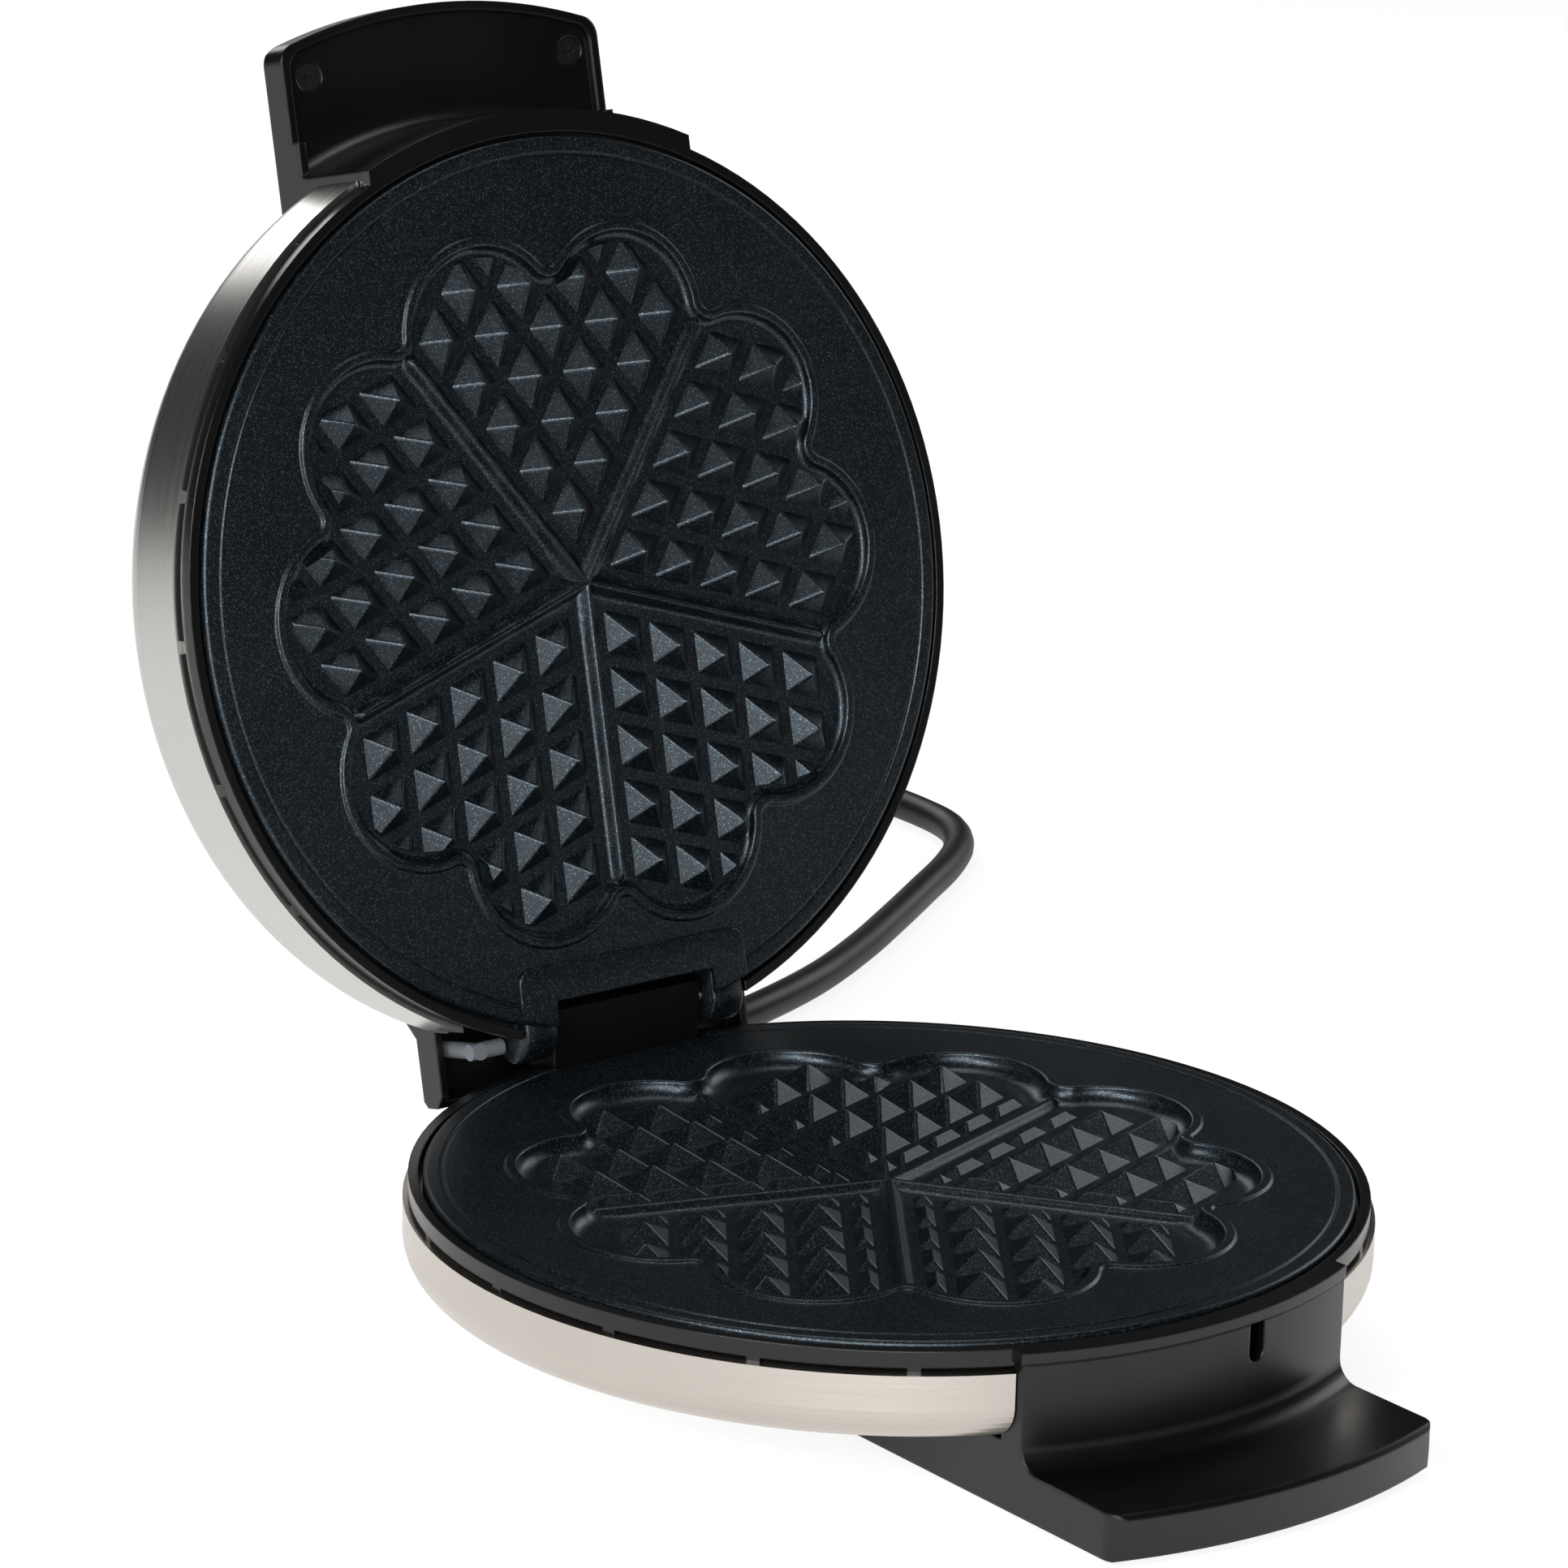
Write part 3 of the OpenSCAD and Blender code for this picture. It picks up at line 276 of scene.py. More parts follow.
def moulded(name, look):
    # moulded plastic or rubber: one colour, slow change of gloss, fine grain, softened edges
    material, nodes, links, shader = newMaterial(name)
    where = addNode(nodes, "ShaderNodeTexCoord", (-900, 0))
    handling = placeGroup(nodes, handlingGroup, (-300, 100), Low=look["roughness"][0], High=look["roughness"][1],
                          Scale=mouldedPatch)
    grain = placeGroup(nodes, grainGroup, (-300, -200), Scale=look["grain"], Depth=look["depth"])
    links.new(where.outputs["Object"], handling.inputs["Vector"])
    links.new(where.outputs["Object"], grain.inputs["Vector"])
    worn = [min(1.0, mouldedWorn * c) for c in look["color"][:3]] + [1]
    share, tinted = mixColors(nodes, (0, 200), look["color"], worn)
    links.new(handling.outputs["Mask"], share)
    links.new(tinted, shader.inputs["Base Color"])
    links.new(handling.outputs["Value"], shader.inputs["Roughness"])
    if look.get("edge"):
        edge = addNode(nodes, "ShaderNodeBevel", (-600, -300), samples=4)
        edge.inputs["Radius"].default_value = look["edge"]
        bump = addNode(nodes, "ShaderNodeBump", (0, -200), Strength=1.0)
        bump.inputs["Distance"].default_value = look["depth"]
        links.new(edge.outputs["Normal"], bump.inputs["Normal"])
        links.new(grain.outputs["Mask"], bump.inputs["Height"])
        links.new(bump.outputs["Normal"], shader.inputs["Normal"])
    else:
        links.new(grain.outputs["Normal"], shader.inputs["Normal"])
    shader.inputs["Specular IOR Level"].default_value = look.get("specular", 0.5)
    shader.inputs["Metallic"].default_value = look.get("metallic", 0.0)
    return material


def coated(name):
    # non-stick coating: near black, with metal flecks that show where it catches light
    material, nodes, links, shader = newMaterial(name)
    where = addNode(nodes, "ShaderNodeTexCoord", (-1100, 0))
    flecks = addNode(nodes, "ShaderNodeTexVoronoi", (-800, 200), Scale=coatingLook["fleckScale"])
    pick = addNode(nodes, "ShaderNodeSeparateColor", (-600, 200))
    bright = addSpread(nodes, (-400, 200), coatingLook["fleckFrom"], 1.0)
    handling = placeGroup(nodes, handlingGroup, (-400, -50), Low=coatingLook["roughness"][0],
                          High=coatingLook["roughness"][1], Scale=coatingLook["patch"])
    grain = placeGroup(nodes, grainGroup, (-400, -300), Scale=coatingLook["grain"], Depth=coatingLook["depth"])
    share, tinted = mixColors(nodes, (0, 200), coatingLook["base"], coatingLook["fleck"])
    for node in (flecks, handling, grain):
        links.new(where.outputs["Object"], node.inputs["Vector"])
    links.new(flecks.outputs["Color"], pick.inputs["Color"])
    links.new(pick.outputs["Red"], bright.inputs["Value"])
    links.new(bright.outputs["Result"], share)
    links.new(bright.outputs["Result"], shader.inputs["Metallic"])
    links.new(tinted, shader.inputs["Base Color"])
    links.new(handling.outputs["Value"], shader.inputs["Roughness"])
    links.new(grain.outputs["Normal"], shader.inputs["Normal"])
    shader.inputs["Specular IOR Level"].default_value = coatingLook["specular"]
    shader.inputs["Specular Tint"].default_value = coatingLook["tint"]
    return material


def makeBrushing():
    # brushing round an axis: noise over (angle, radius and height), drawn out along the angle
    group, start, end = newGroup(
        "brushing",
        [("Vector", "NodeSocketVector", None), ("Depth", "NodeSocketFloat", 0.00002),
         ("Low", "NodeSocketFloat", 0.25), ("High", "NodeSocketFloat", 0.35)],
        [("Lines", "NodeSocketFloat"), ("Roughness", "NodeSocketFloat"), ("Normal", "NodeSocketVector")])
    link = group.links.new
    split = addNode(group.nodes, "ShaderNodeSeparateXYZ", (-750, 0))
    turn = addNode(group.nodes, "ShaderNodeMath", (-550, 150), operation="ARCTAN2")
    flat = addNode(group.nodes, "ShaderNodeVectorMath", (-750, -200), operation="MULTIPLY")
    flat.inputs[1].default_value = (1, 1, 0)
    radius = addNode(group.nodes, "ShaderNodeVectorMath", (-550, -200), operation="LENGTH")
    join = addNode(group.nodes, "ShaderNodeCombineXYZ", (-350, 0))
    stretch = addNode(group.nodes, "ShaderNodeVectorMath", (-150, 0), operation="MULTIPLY")
    stretch.inputs[1].default_value = steelLook["stretch"]
    noise = addNode(group.nodes, "ShaderNodeTexNoise", (50, 0), Scale=1.0, Detail=4.0, Roughness=0.65)
    spread = addSpread(group.nodes, (250, 150), 0.3, 0.7)
    bump = addNode(group.nodes, "ShaderNodeBump", (250, -200), Strength=1.0)
    link(start.outputs["Vector"], split.inputs[0])
    link(start.outputs["Vector"], flat.inputs[0])
    link(split.outputs["Y"], turn.inputs[0])
    link(split.outputs["X"], turn.inputs[1])
    link(flat.outputs[0], radius.inputs[0])
    link(turn.outputs[0], join.inputs["X"])
    link(radius.outputs["Value"], join.inputs["Y"])
    link(split.outputs["Z"], join.inputs["Z"])
    link(join.outputs[0], stretch.inputs[0])
    link(stretch.outputs[0], noise.inputs["Vector"])
    link(noise.outputs["Fac"], spread.inputs["Value"])
    link(start.outputs["Low"], spread.inputs["To Min"])
    link(start.outputs["High"], spread.inputs["To Max"])
    link(noise.outputs["Fac"], bump.inputs["Height"])
    link(start.outputs["Depth"], bump.inputs["Distance"])
    link(noise.outputs["Fac"], end.inputs["Lines"])
    link(spread.outputs["Result"], end.inputs["Roughness"])
    link(bump.outputs["Normal"], end.inputs["Normal"])
    return group


brushingGroup = makeBrushing()


def brushed(name, half):
    # brushed steel; the mapping puts the plate's own axis on Z before the brushing is worked out
    material, nodes, links, shader = newMaterial(name)
    where = addNode(nodes, "ShaderNodeTexCoord", (-1100, 0))
    axis = addNode(nodes, "ShaderNodeMapping", (-900, 0), vector_type="TEXTURE")
    axis.inputs["Location"].default_value = halves[half][0]([0, 0, 0])
    if half == "lid":
        axis.inputs["Rotation"].default_value = (-stand["openAngle"], 0, 0)
    brush = placeGroup(nodes, brushingGroup, (-600, 0), Depth=steelLook["lines"], Low=steelLook["roughness"][0],
                       High=steelLook["roughness"][1])
    patches = placeGroup(nodes, handlingGroup, (-600, -300), Scale=steelLook["patch"], Low=0.0, High=1.0)
    color = steelLook["color"] if half == "base" else steelLook["lidColor"]
    worn = [steelLook["worn"] * c for c in color[:3]] + [1]
    share, tinted = mixColors(nodes, (-200, 200), worn, color)
    links.new(where.outputs["Object"], axis.inputs["Vector"])
    links.new(axis.outputs["Vector"], brush.inputs["Vector"])
    links.new(axis.outputs["Vector"], patches.inputs["Vector"])
    links.new(patches.outputs["Value"], share)
    links.new(tinted, shader.inputs["Base Color"])
    links.new(brush.outputs["Roughness"], shader.inputs["Roughness"])
    links.new(brush.outputs["Normal"], shader.inputs["Normal"])
    shader.inputs["Metallic"].default_value = 1.0
    return material


finish = {
    "plastic": moulded("satinPlastic", plasticLook),
    "ring": moulded("ringPlastic", ringLook),
    "rubber": moulded("leadRubber", rubberLook),
    "tie": moulded("bandTie", dict(rubberLook, color=(0.012, 0.012, 0.013, 1), roughness=(0.5, 0.6))),
    "feet": moulded("footRubber", dict(rubberLook, color=(0.02, 0.02, 0.02, 1), roughness=(0.6, 0.7))),
    "coating": coated("nonStickCoating"),
    "steelBase": brushed("brushedSteelBase", "base"),
    "steelLid": brushed("brushedSteelLid", "lid"),
}
# name, colour, roughness from and to, scale and depth of the grain, and how metallic
smallFinishes = {
    "zinc": ("zincSteel", (0.55, 0.54, 0.52, 1), (0.25, 0.38), 1200.0, 0.00002, 1.0),
    "blackScrew": ("blackedScrew", (0.02, 0.02, 0.022, 1), (0.25, 0.35), 1200.0, 0.00001, 0.6),
    "heater": ("heaterSheath", (0.30, 0.28, 0.26, 1), (0.45, 0.6), 900.0, 0.00004, 1.0),
    "sheet": ("brightSheet", (0.72, 0.72, 0.72, 1), (0.2, 0.35), 900.0, 0.00002, 1.0),
    "ceramic": ("creamCeramic", (0.72, 0.66, 0.54, 1), (0.45, 0.6), 700.0, 0.00004, 0.0),
    # the sleeves' dark grey is darker than their own pale colour: painted shade for the shadow that most of the
    # hinge sleeve lies in
    "sleeve": ("glassSleeve", (0.13, 0.14, 0.155, 1), (0.45, 0.6), 2500.0, 0.00008, 0.0),
    "brass": ("tagBrass", (0.72, 0.52, 0.22, 1), (0.25, 0.35), 900.0, 0.00002, 1.0),
    "lens": ("lampLens", (0.55, 0.07, 0.02, 1), (0.1, 0.16), 300.0, 0.00001, 0.0),
    "bulb": ("lampBody", (0.8, 0.76, 0.68, 1), (0.3, 0.4), 500.0, 0.00001, 0.0),
}
for key, (name, *values) in smallFinishes.items():
    finish[key] = moulded(name, dict(zip(("color", "roughness", "grain", "depth", "metallic"), values)))
print("finishes ready:", len(finish))

nodeFinish = {
    "plastic": ["base_saddle", "bottom_cover", "cord_clamp", "lid_handle", "lid_handle_panel", "lid_hood",
                "browning_knob", "mains_plug"],
    "ring": ["base_vent_ring", "lid_vent_ring"],
    "rubber": ["cord_gland", "mains_cord", "cord_coil", "cord_tail"],
    "feet": ["rubber_feet"],
    "coating": ["lower_plate", "upper_plate"],
    "steelBase": ["base_shell"],
    "steelLid": ["lid_shell"],
    "zinc": ["lower_heater_clips", "upper_heater_clips", "lower_plate_screws", "bottom_cover_screws", "hinge_pin",
             "lid_plate_screws", "lid_hood_screws", "thermostat_bracket", "thermostat_spindle", "plug_pins",
             "thermal_fuse"],
    "blackScrew": ["lid_handle_screws"],
    "heater": ["lower_heater", "upper_heater"],
    "sheet": ["lower_reflector", "upper_reflector"],
    "ceramic": ["terminal_block", "thermostat"],
    "sleeve": ["base_leads", "lid_leads", "hinge_wire_sleeve"],
    "brass": ["earth_tag"],
    "lens": ["ready_lamp_lens"],
    "bulb": ["ready_lamp"],
}
for key, names in nodeFinish.items():
    for name in names:
        cadNodes[name].data.materials.clear()
        cadNodes[name].data.materials.append(finish[key])

# the lead
leadSettings = {"thickness": 0.0088, "down": -35.1, "turns": 2.25, "coilMiddle": (213.0, 372.0),
                "coilRadius": 48.0, "risePerTurn": 8.9, "pointsPerTurn": 16, "roundness": 6, "steps": 8,
                "leaves": (0, 1, 0), "ends": (-1, 0, 0)}
# the run from the housing to the coil, lying at "down" where no height is given, and the tail to the plug
leadPath = [(33, 138.5, -30), (34, 149, -31.5), (39, 162, -33), (49, 173, -34.5), (65, 180), (86, 184),
            (110, 190.5), (139, 202), (166, 217), (190, 232.5), (213, 248), (234, 262.5), (249, 276),
            (258, 291), (261, 309), (261, 338)]
leadTail = [(205, 420, -16.1), (190, 420, -20), (175, 420, -21)]


def leadToFrame(points):
    # from millimetres, with heights measured from the plates' face, to the frame
    return (points + np.array([0.0, -stand["middleBack"], stand["faceHeight"]])) * mm


def leadPoints():
    # free run, then a rising circle: middle + r (cos a, sin a), height growing with the angle, then the tail
    down = leadSettings["down"]
    run = [(p[0], p[1], p[2] if len(p) > 2 else down) for p in leadPath]
    count = int(leadSettings["turns"] * leadSettings["pointsPerTurn"]) + 1
    angle = np.linspace(0, leadSettings["turns"] * 2 * math.pi, count)
    radius = leadSettings["coilRadius"]
    coil = np.stack([leadSettings["coilMiddle"][0] + radius * np.cos(angle),
                     leadSettings["coilMiddle"][1] + radius * np.sin(angle),
                     down + leadSettings["risePerTurn"] * angle / (2 * math.pi)], 1)
    return leadToFrame(np.concatenate([np.array(run, float), coil, np.array(leadTail, float)]))


tieSettings = {"turn": 200.0, "strands": 2, "gap": 0.15, "thick": 1.0, "wide": 8.0, "around": 48,
               "chamfer": 0.3}


def makeTie():
    # a flat band round the coil's strands: a stadium in the plane across the lead, carried over its own
    # rounded section; point = middle + (radius + out) * (cos b, sin b), its upper half raised to the top strand
    turn = math.radians(tieSettings["turn"])
    rise, thick = leadSettings["risePerTurn"], tieSettings["thick"]
    low = leadSettings["down"] + rise * tieSettings["turn"] / 360
    radius = leadSettings["thickness"] / mm / 2 + tieSettings["gap"]
    around = 2 * math.pi * np.arange(tieSettings["around"]) / tieSettings["around"]
    upper = np.sin(around) >= 0
    edge, cut = tieSettings["wide"] / 2, tieSettings["chamfer"]
    section = [(0.0, -edge + cut), (cut, -edge), (thick - cut, -edge), (thick, -edge + cut), (thick, edge - cut),
               (thick - cut, edge), (cut, edge), (0.0, edge - cut)]
    rows = []
    for out, along in section:
        across = (radius + out) * np.cos(around)
        high = (radius + out) * np.sin(around) + np.where(upper, rise * (tieSettings["strands"] - 1), 0.0)
        ring = leadSettings["coilRadius"] + across
        rows.append(np.stack([leadSettings["coilMiddle"][0] + ring * math.cos(turn) - along * math.sin(turn),
                              leadSettings["coilMiddle"][1] + ring * math.sin(turn) + along * math.cos(turn),
                              low + high], -1))
    faces = gridFaces(len(rows) + 1, len(around), True) % (len(rows) * len(around))
    return newPiece("leadTie", leadToFrame(np.array(rows)), faces, "base", finish["tie"], angle=50)


def makeLead():
    # one smooth open spline through the route's points, swept to the lead's thickness
    points = leadPoints()
    data = bpy.data.curves.new("mainsLead", "CURVE")
    data.dimensions = "3D"
    data.bevel_depth = leadSettings["thickness"] / 2
    data.bevel_resolution = leadSettings["roundness"]
    data.resolution_u = leadSettings["steps"]
    data.use_fill_caps = True
    spline = data.splines.new("BEZIER")
    spline.bezier_points.add(len(points) - 1)
    # handles a third of the way to each neighbour, along the line between the neighbours
    before = np.concatenate([points[:1], points[:-1]])
    after = np.concatenate([points[1:], points[-1:]])
    along = after - before
    along /= np.linalg.norm(along, axis=1)[:, None]
    along[0] = leadSettings["leaves"]
    along[-1] = leadSettings["ends"]
    toBefore = np.linalg.norm(points - before, axis=1)[:, None] / 3
    toAfter = np.linalg.norm(after - points, axis=1)[:, None] / 3
    spline.bezier_points.foreach_set("co", points.ravel())
    spline.bezier_points.foreach_set("handle_left", (points - along * toBefore).ravel())
    spline.bezier_points.foreach_set("handle_right", (points + along * toAfter).ravel())
    lead = bpy.data.objects.new("mainsLead", data)
    bpy.context.scene.collection.objects.link(lead)
    data.materials.append(finish["rubber"])
    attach(lead, "base")
    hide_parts("mains_cord", "cord_coil", "cord_tail")


leadTie = makeTie()
makeLead()
print("lead laid")

# the two castings
plateSettings = {"radius": 105.0, "lobeRing": 63.5, "lobe": 19.5, "cleftRing": 77.5, "overlap": 0.06,
                 "betweenColumns": 60, "firstRib": 18, "wallSteps": 14, "wallLast": 4, "wallFoot": 0.1,
                 "besideRib": (0, 0.3, 0.6, 0.85, 1.1, 1.4, 1.9, 2.7, 3.4, 3.8, 4.1, 4.5, 5.0),
                 "flatRing": 90, "rimFrom": 103.5, "groove": (100.35, 101.25)}
# shares of the way from the middle to the wall's foot, at which the floor has rows
floorShares = (0.002, 0.01, 0.025, 0.05, 0.08, 0.12, 0.18, 0.27, 0.4, 0.55, 0.7, 0.84, 0.94, 0.985)
# the bead's section: share of its width, share of its height
beadSection = ((0.0, -0.16), (0.015, 0.2), (0.05, 0.57), (0.11, 0.83), (0.2, 0.97), (0.28, 1.0), (0.66, 1.0),
               (0.75, 0.98), (0.83, 0.87), (0.89, 0.63), (0.94, 0.33), (1.0, 0.1))
# radius and depth of the rows outside the bead: the face with its fine groove and the rim, then the back
rimRows = ((92, 0), (96, 0), (100.0, 0), (100.33, 0.0), (100.42, 0.06), (100.52, 0.3), (100.65, 0.4),
           (100.95, 0.4), (101.08, 0.3), (101.18, 0.06), (101.28, 0.0), (101.6, 0), (103.6, 0), (103.9, 0.0),
           (104.3, 0.07), (104.65, 0.26), (104.9, 0.6), (105.0, 1.05), (105.0, 1.3), (105.0, 3.5),
           (104.95, 3.8), (104.6, 4.0), (104.0, 4.0))
backRows = ((90, 4.0), (88.3, 4.0), (88.0, 4.3), (88.0, 11.7), (87.7, 12.0), (86.5, 12.0), (10, 12.0), (1, 12.0))
# each plate's floor, its wall, its bead (from and to, with its height), its ribs, its pyramids and its notch at
# the hinge (half width, and how far back it starts); a line gives a row's distance from a rib and its half
# width, and the two plates' rows stand between each other
grids = {"base": {"floor": 3.8, "wall": 4.0, "bead": (0.9, 3.8, 0.6), "ribHalf": 0.8, "ribRun": 1.3,
                  "ribDrop": 2.1, "steep": 0.81, "margin": 1.8, "notch": (21.9, 99.1),
                  "lines": [(7.2, 2.1), (16.95, 5.3), (29.8, 5.3), (42.65, 5.3), (55.5, 5.3)]},
         "lid": {"floor": 1.5, "wall": 0.7, "bead": (1.2, 3.8, 0.85), "ribHalf": 0.55, "ribRun": 1.2,
                 "ribDrop": -1.2, "steep": 1.04, "margin": 1.2, "notch": (22.8, 96.0),
                 "lines": [(10.1, 5.0), (22.85, 5.0), (35.6, 5.0), (48.35, 5.0), (61.1, 5.0)]}}
# "round" is a pyramid's corner radius, "tip" how blunt it is, "sink" how far its foot runs on below the floor;
# a pyramid that the wall cuts is kept from "least" inside, and its centre stays if it is "clear" of the cut
studSettings = {"round": 0.8, "tip": 0.05, "sink": 1.06, "rays": 60, "cornerSteps": 5, "edgeSoft": 0.06,
                "levels": (0.004, 0.03, 0.06, 0.1, 0.16, 0.24, 0.98), "least": -0.8, "clear": -0.7,
                "cutShares": (0.01, 0.15, 0.32, 0.5, 0.68, 0.84, 0.96), "cutDrop": 0.18, "footDrop": 0.9,
                "raySteps": 120, "tries": 15, "triesTo": 0.92, "step": 0.02}
hearts = 5
lobeAngle = math.pi / hearts
lobeMiddle = np.array([plateSettings["lobeRing"], 0.0])
cleftMiddle = plateSettings["cleftRing"] * np.array([math.cos(lobeAngle / 2), math.sin(lobeAngle / 2)])
cleftRound = np.linalg.norm(cleftMiddle - lobeMiddle) - plateSettings["lobe"] + plateSettings["overlap"]


def foldAngle(angle, step):
    # angle from the nearest multiple of step, without its sign
    return np.abs((angle + step / 2) % step - step / 2)


def outlineRadius(angle, grow):
    # the flower grown by g: R = L cos a + sqrt((r + g)^2 - (L sin a)^2) on a lobe, and in a cleft
    # R = C cos b - sqrt((rc - g)^2 - (C sin b)^2), with b measured from the cleft's middle
    a = foldAngle(angle, lobeAngle)
    b = lobeAngle / 2 - a
    toCleft = (cleftMiddle - lobeMiddle) / np.linalg.norm(cleftMiddle - lobeMiddle)
    lobe = plateSettings["lobe"] + grow
    cleft = cleftRound - grow
    touch = lobeMiddle + toCleft * lobe
    limit = math.atan2(touch[1], touch[0])
    onLobe = lobeMiddle[0] * np.cos(a) + np.sqrt(np.maximum(lobe ** 2 - (lobeMiddle[0] * np.sin(a)) ** 2, 0))
    ring = plateSettings["cleftRing"]
    inCleft = ring * np.cos(b) - np.sqrt(np.maximum(cleft ** 2 - (ring * np.sin(b)) ** 2, 0))
    return np.where(a < limit, onLobe, inCleft)


def outlineDistance(x, y):
    # distance from the flower's edge, positive outside: |p - L| - r beside a lobe, rc - |p - C| beside a cleft
    radius = np.hypot(x, y)
    a = foldAngle(np.arctan2(y, x), lobeAngle)
    p = np.stack([radius * np.cos(a), radius * np.sin(a)], -1)
    line = cleftMiddle - lobeMiddle
    side = line[0] * (p[..., 1] - lobeMiddle[1]) - line[1] * (p[..., 0] - lobeMiddle[0])
    return np.where(side < 0, np.linalg.norm(p - lobeMiddle, axis=-1) - plateSettings["lobe"],
                    cleftRound - np.linalg.norm(p - cleftMiddle, axis=-1))


def softLow(a, b, k):
    # the smaller of two heights, rounded over k: (a + b - sqrt((a - b)^2 + k^2)) / 2
    return 0.5 * (a + b - np.sqrt((a - b) ** 2 + k ** 2))


def softHigh(a, b, k):
    # the larger of two heights, rounded over k: (a + b + sqrt((a - b)^2 + k^2)) / 2
    return 0.5 * (a + b + np.sqrt((a - b) ** 2 + k ** 2))


def ribDepth(offset, grid):
    # depth of a rib's surface at an offset from its middle: flat top, then a straight slope down to the floor
    rise = (grid["floor"] - grid["ribDrop"]) / grid["ribRun"]
    side = grid["ribDrop"] - 0.1 + rise * softHigh(offset - grid["ribHalf"], 0.0, 0.35)
    return softLow(side, grid["floor"] + 0.04, 0.4)


def castingRows(grid):
    # each row's kind, its place and its depth: share of the floor, distance from the flower's edge, or radius;
    # the wall is a cove, place = from - (cove + from) (1 - cos s), depth = foot + (floor - foot) sin s
    floor, cove = grid["floor"], grid["wall"]
    beadFrom, beadTo, high = grid["bead"]
    foot = plateSettings["wallFoot"]
    rows = [("floor", share, floor) for share in floorShares]
    for s in np.radians(np.linspace(90, plateSettings["wallLast"], plateSettings["wallSteps"])):
        place = beadFrom - (cove + beadFrom) * (1 - math.cos(s))
        rows.append(("wall", place, foot + (floor - foot) * math.sin(s)))
    rows += [("wall", beadFrom + share * (beadTo - beadFrom), -high * rise) for share, rise in beadSection]
    rows += [("wall", beadTo + 0.25, 0.0), ("wall", beadTo + 0.5, 0.0)]
    rows += [("ring", radius, depth) for radius, depth in rimRows]
    return rows + [("back", radius, depth) for radius, depth in backRows]


def rowRadius(kind, place, angle, cove):
    # how far out a row runs at each angle
    if kind == "floor":
        return place * outlineRadius(angle, -cove)
    if kind == "wall":
        return outlineRadius(angle, place)
    return np.full(len(angle), float(place))


def notchedRow(place, around, far, height, notch, corners):
    # a row of the face drawn in where the hinge's notch cuts the plate: from the flat ring F out,
    # r' = F + (r - F) (limit - F) / (R - F), and at the rim r' = limit - (R - r); the fine groove stops there
    notchHalf, notchBack = notch
    edge, flatRing = plateSettings["radius"], plateSettings["flatRing"]
    front = notchBack / np.maximum(np.sin(around), 0.1)
    side = notchHalf / np.maximum(np.abs(np.cos(around)), 1e-6)
    # between the corner angles the edge is the notch's front, past them its side
    behind = np.sin(around) > 0
    fromMiddle = np.abs(around - math.pi / 2)
    middle = behind & (fromMiddle < math.pi / 2 - corners[0] + 1e-9)
    flank = behind & ~middle & (fromMiddle < math.pi / 2 - corners[1] - 1e-9)
    limit = np.where(middle, front, np.where(flank, side, edge))
    cut = limit < edge - 0.05
    drawnIn = flatRing + (place - flatRing) * (limit - flatRing) / (edge - flatRing)
    if place >= plateSettings["rimFrom"]:
        drawnIn = limit - (edge - place)
    if plateSettings["groove"][0] < place < plateSettings["groove"][1]:
        height = np.where(cut, 0.0, height)
    return np.where(cut, drawnIn, far), height


def castingGrid(grid):
    # rows run from the middle of the face over the rim to the middle of the back, columns round the plate
    floor, cove, notch = grid["floor"], grid["wall"], grid["notch"]
    offsets = np.array(plateSettings["besideRib"])
    between = plateSettings["betweenColumns"]
    ribAngle = math.radians(plateSettings["firstRib"]) + 2 * lobeAngle * np.arange(hearts)
    corners = [math.atan2(notch[1], notch[0]), math.acos(notch[0] / plateSettings["radius"])]
    firstReach = {"wall": 75.0, "ring": 100.0}
    points = []
    for kind, place, depth in castingRows(grid):
        # columns stand at fixed offsets beside each rib and are spread evenly between; a few rounds settle how
        # far out the row is there
        reach = 70.0 * place if kind == "floor" else firstReach.get(kind, place)
        distance = np.full(len(offsets), float(reach))
        for _ in range(5):
            squeeze = np.minimum(1.0, distance * math.sin(lobeAngle) * 0.75 / offsets[-1])
            near = np.arcsin(np.clip(offsets * squeeze / distance, 0, 0.75))
            spread = near[-1] + (lobeAngle - near[-1]) * np.arange(1, between + 1) / between
            half = np.concatenate([near, spread])
            distance = np.abs(rowRadius(kind, place, ribAngle[0] + half, cove)[:len(offsets)])
        ring = np.concatenate([half, 2 * lobeAngle - half[-2:0:-1]])
        around = (ribAngle[:, None] + ring[None, :]).ravel()
        if kind == "ring":
            for corner in corners:
                for target in (corner, math.pi - corner):
                    around[np.argmin(np.abs(around - target))] = target
        far = rowRadius(kind, place, around, cove)
        height = np.full(len(around), float(depth))
        offset = far * np.sin(foldAngle(around - ribAngle[0], 2 * lobeAngle))
        if kind == "floor":
            height = softLow(ribDepth(offset, grid), floor, 0.02)
        elif kind == "wall" and place <= grid["bead"][0] and depth > 0:
            # the rib runs down into the wall before it reaches the bead
            fade = 1.2 * max(0.0, place + 1.0)
            soft = 0.02 + 0.4 * min(1.0, grid["bead"][0] - place)
            height = softLow(height, ribDepth(offset, grid) + fade, soft)
        elif kind == "ring":
            far, height = notchedRow(place, around, far, height, notch, corners)
        points.append(np.stack([far * np.cos(around), far * np.sin(around), height], -1))
    return np.array(points)


def studLattice(grid):
    # middles and half widths of the pyramids in one heart, where u and v are the distances from its two ribs
    return [(u, v, hu, hv) for u, hu in grid["lines"] for v, hv in grid["lines"]]


def fromRibs(u, v):
    # x = (u + v) / (2 sin 36), y = (u - v) / (2 cos 36)
    return np.stack([(u + v) / (2 * math.sin(lobeAngle)), (u - v) / (2 * math.cos(lobeAngle))], -1)


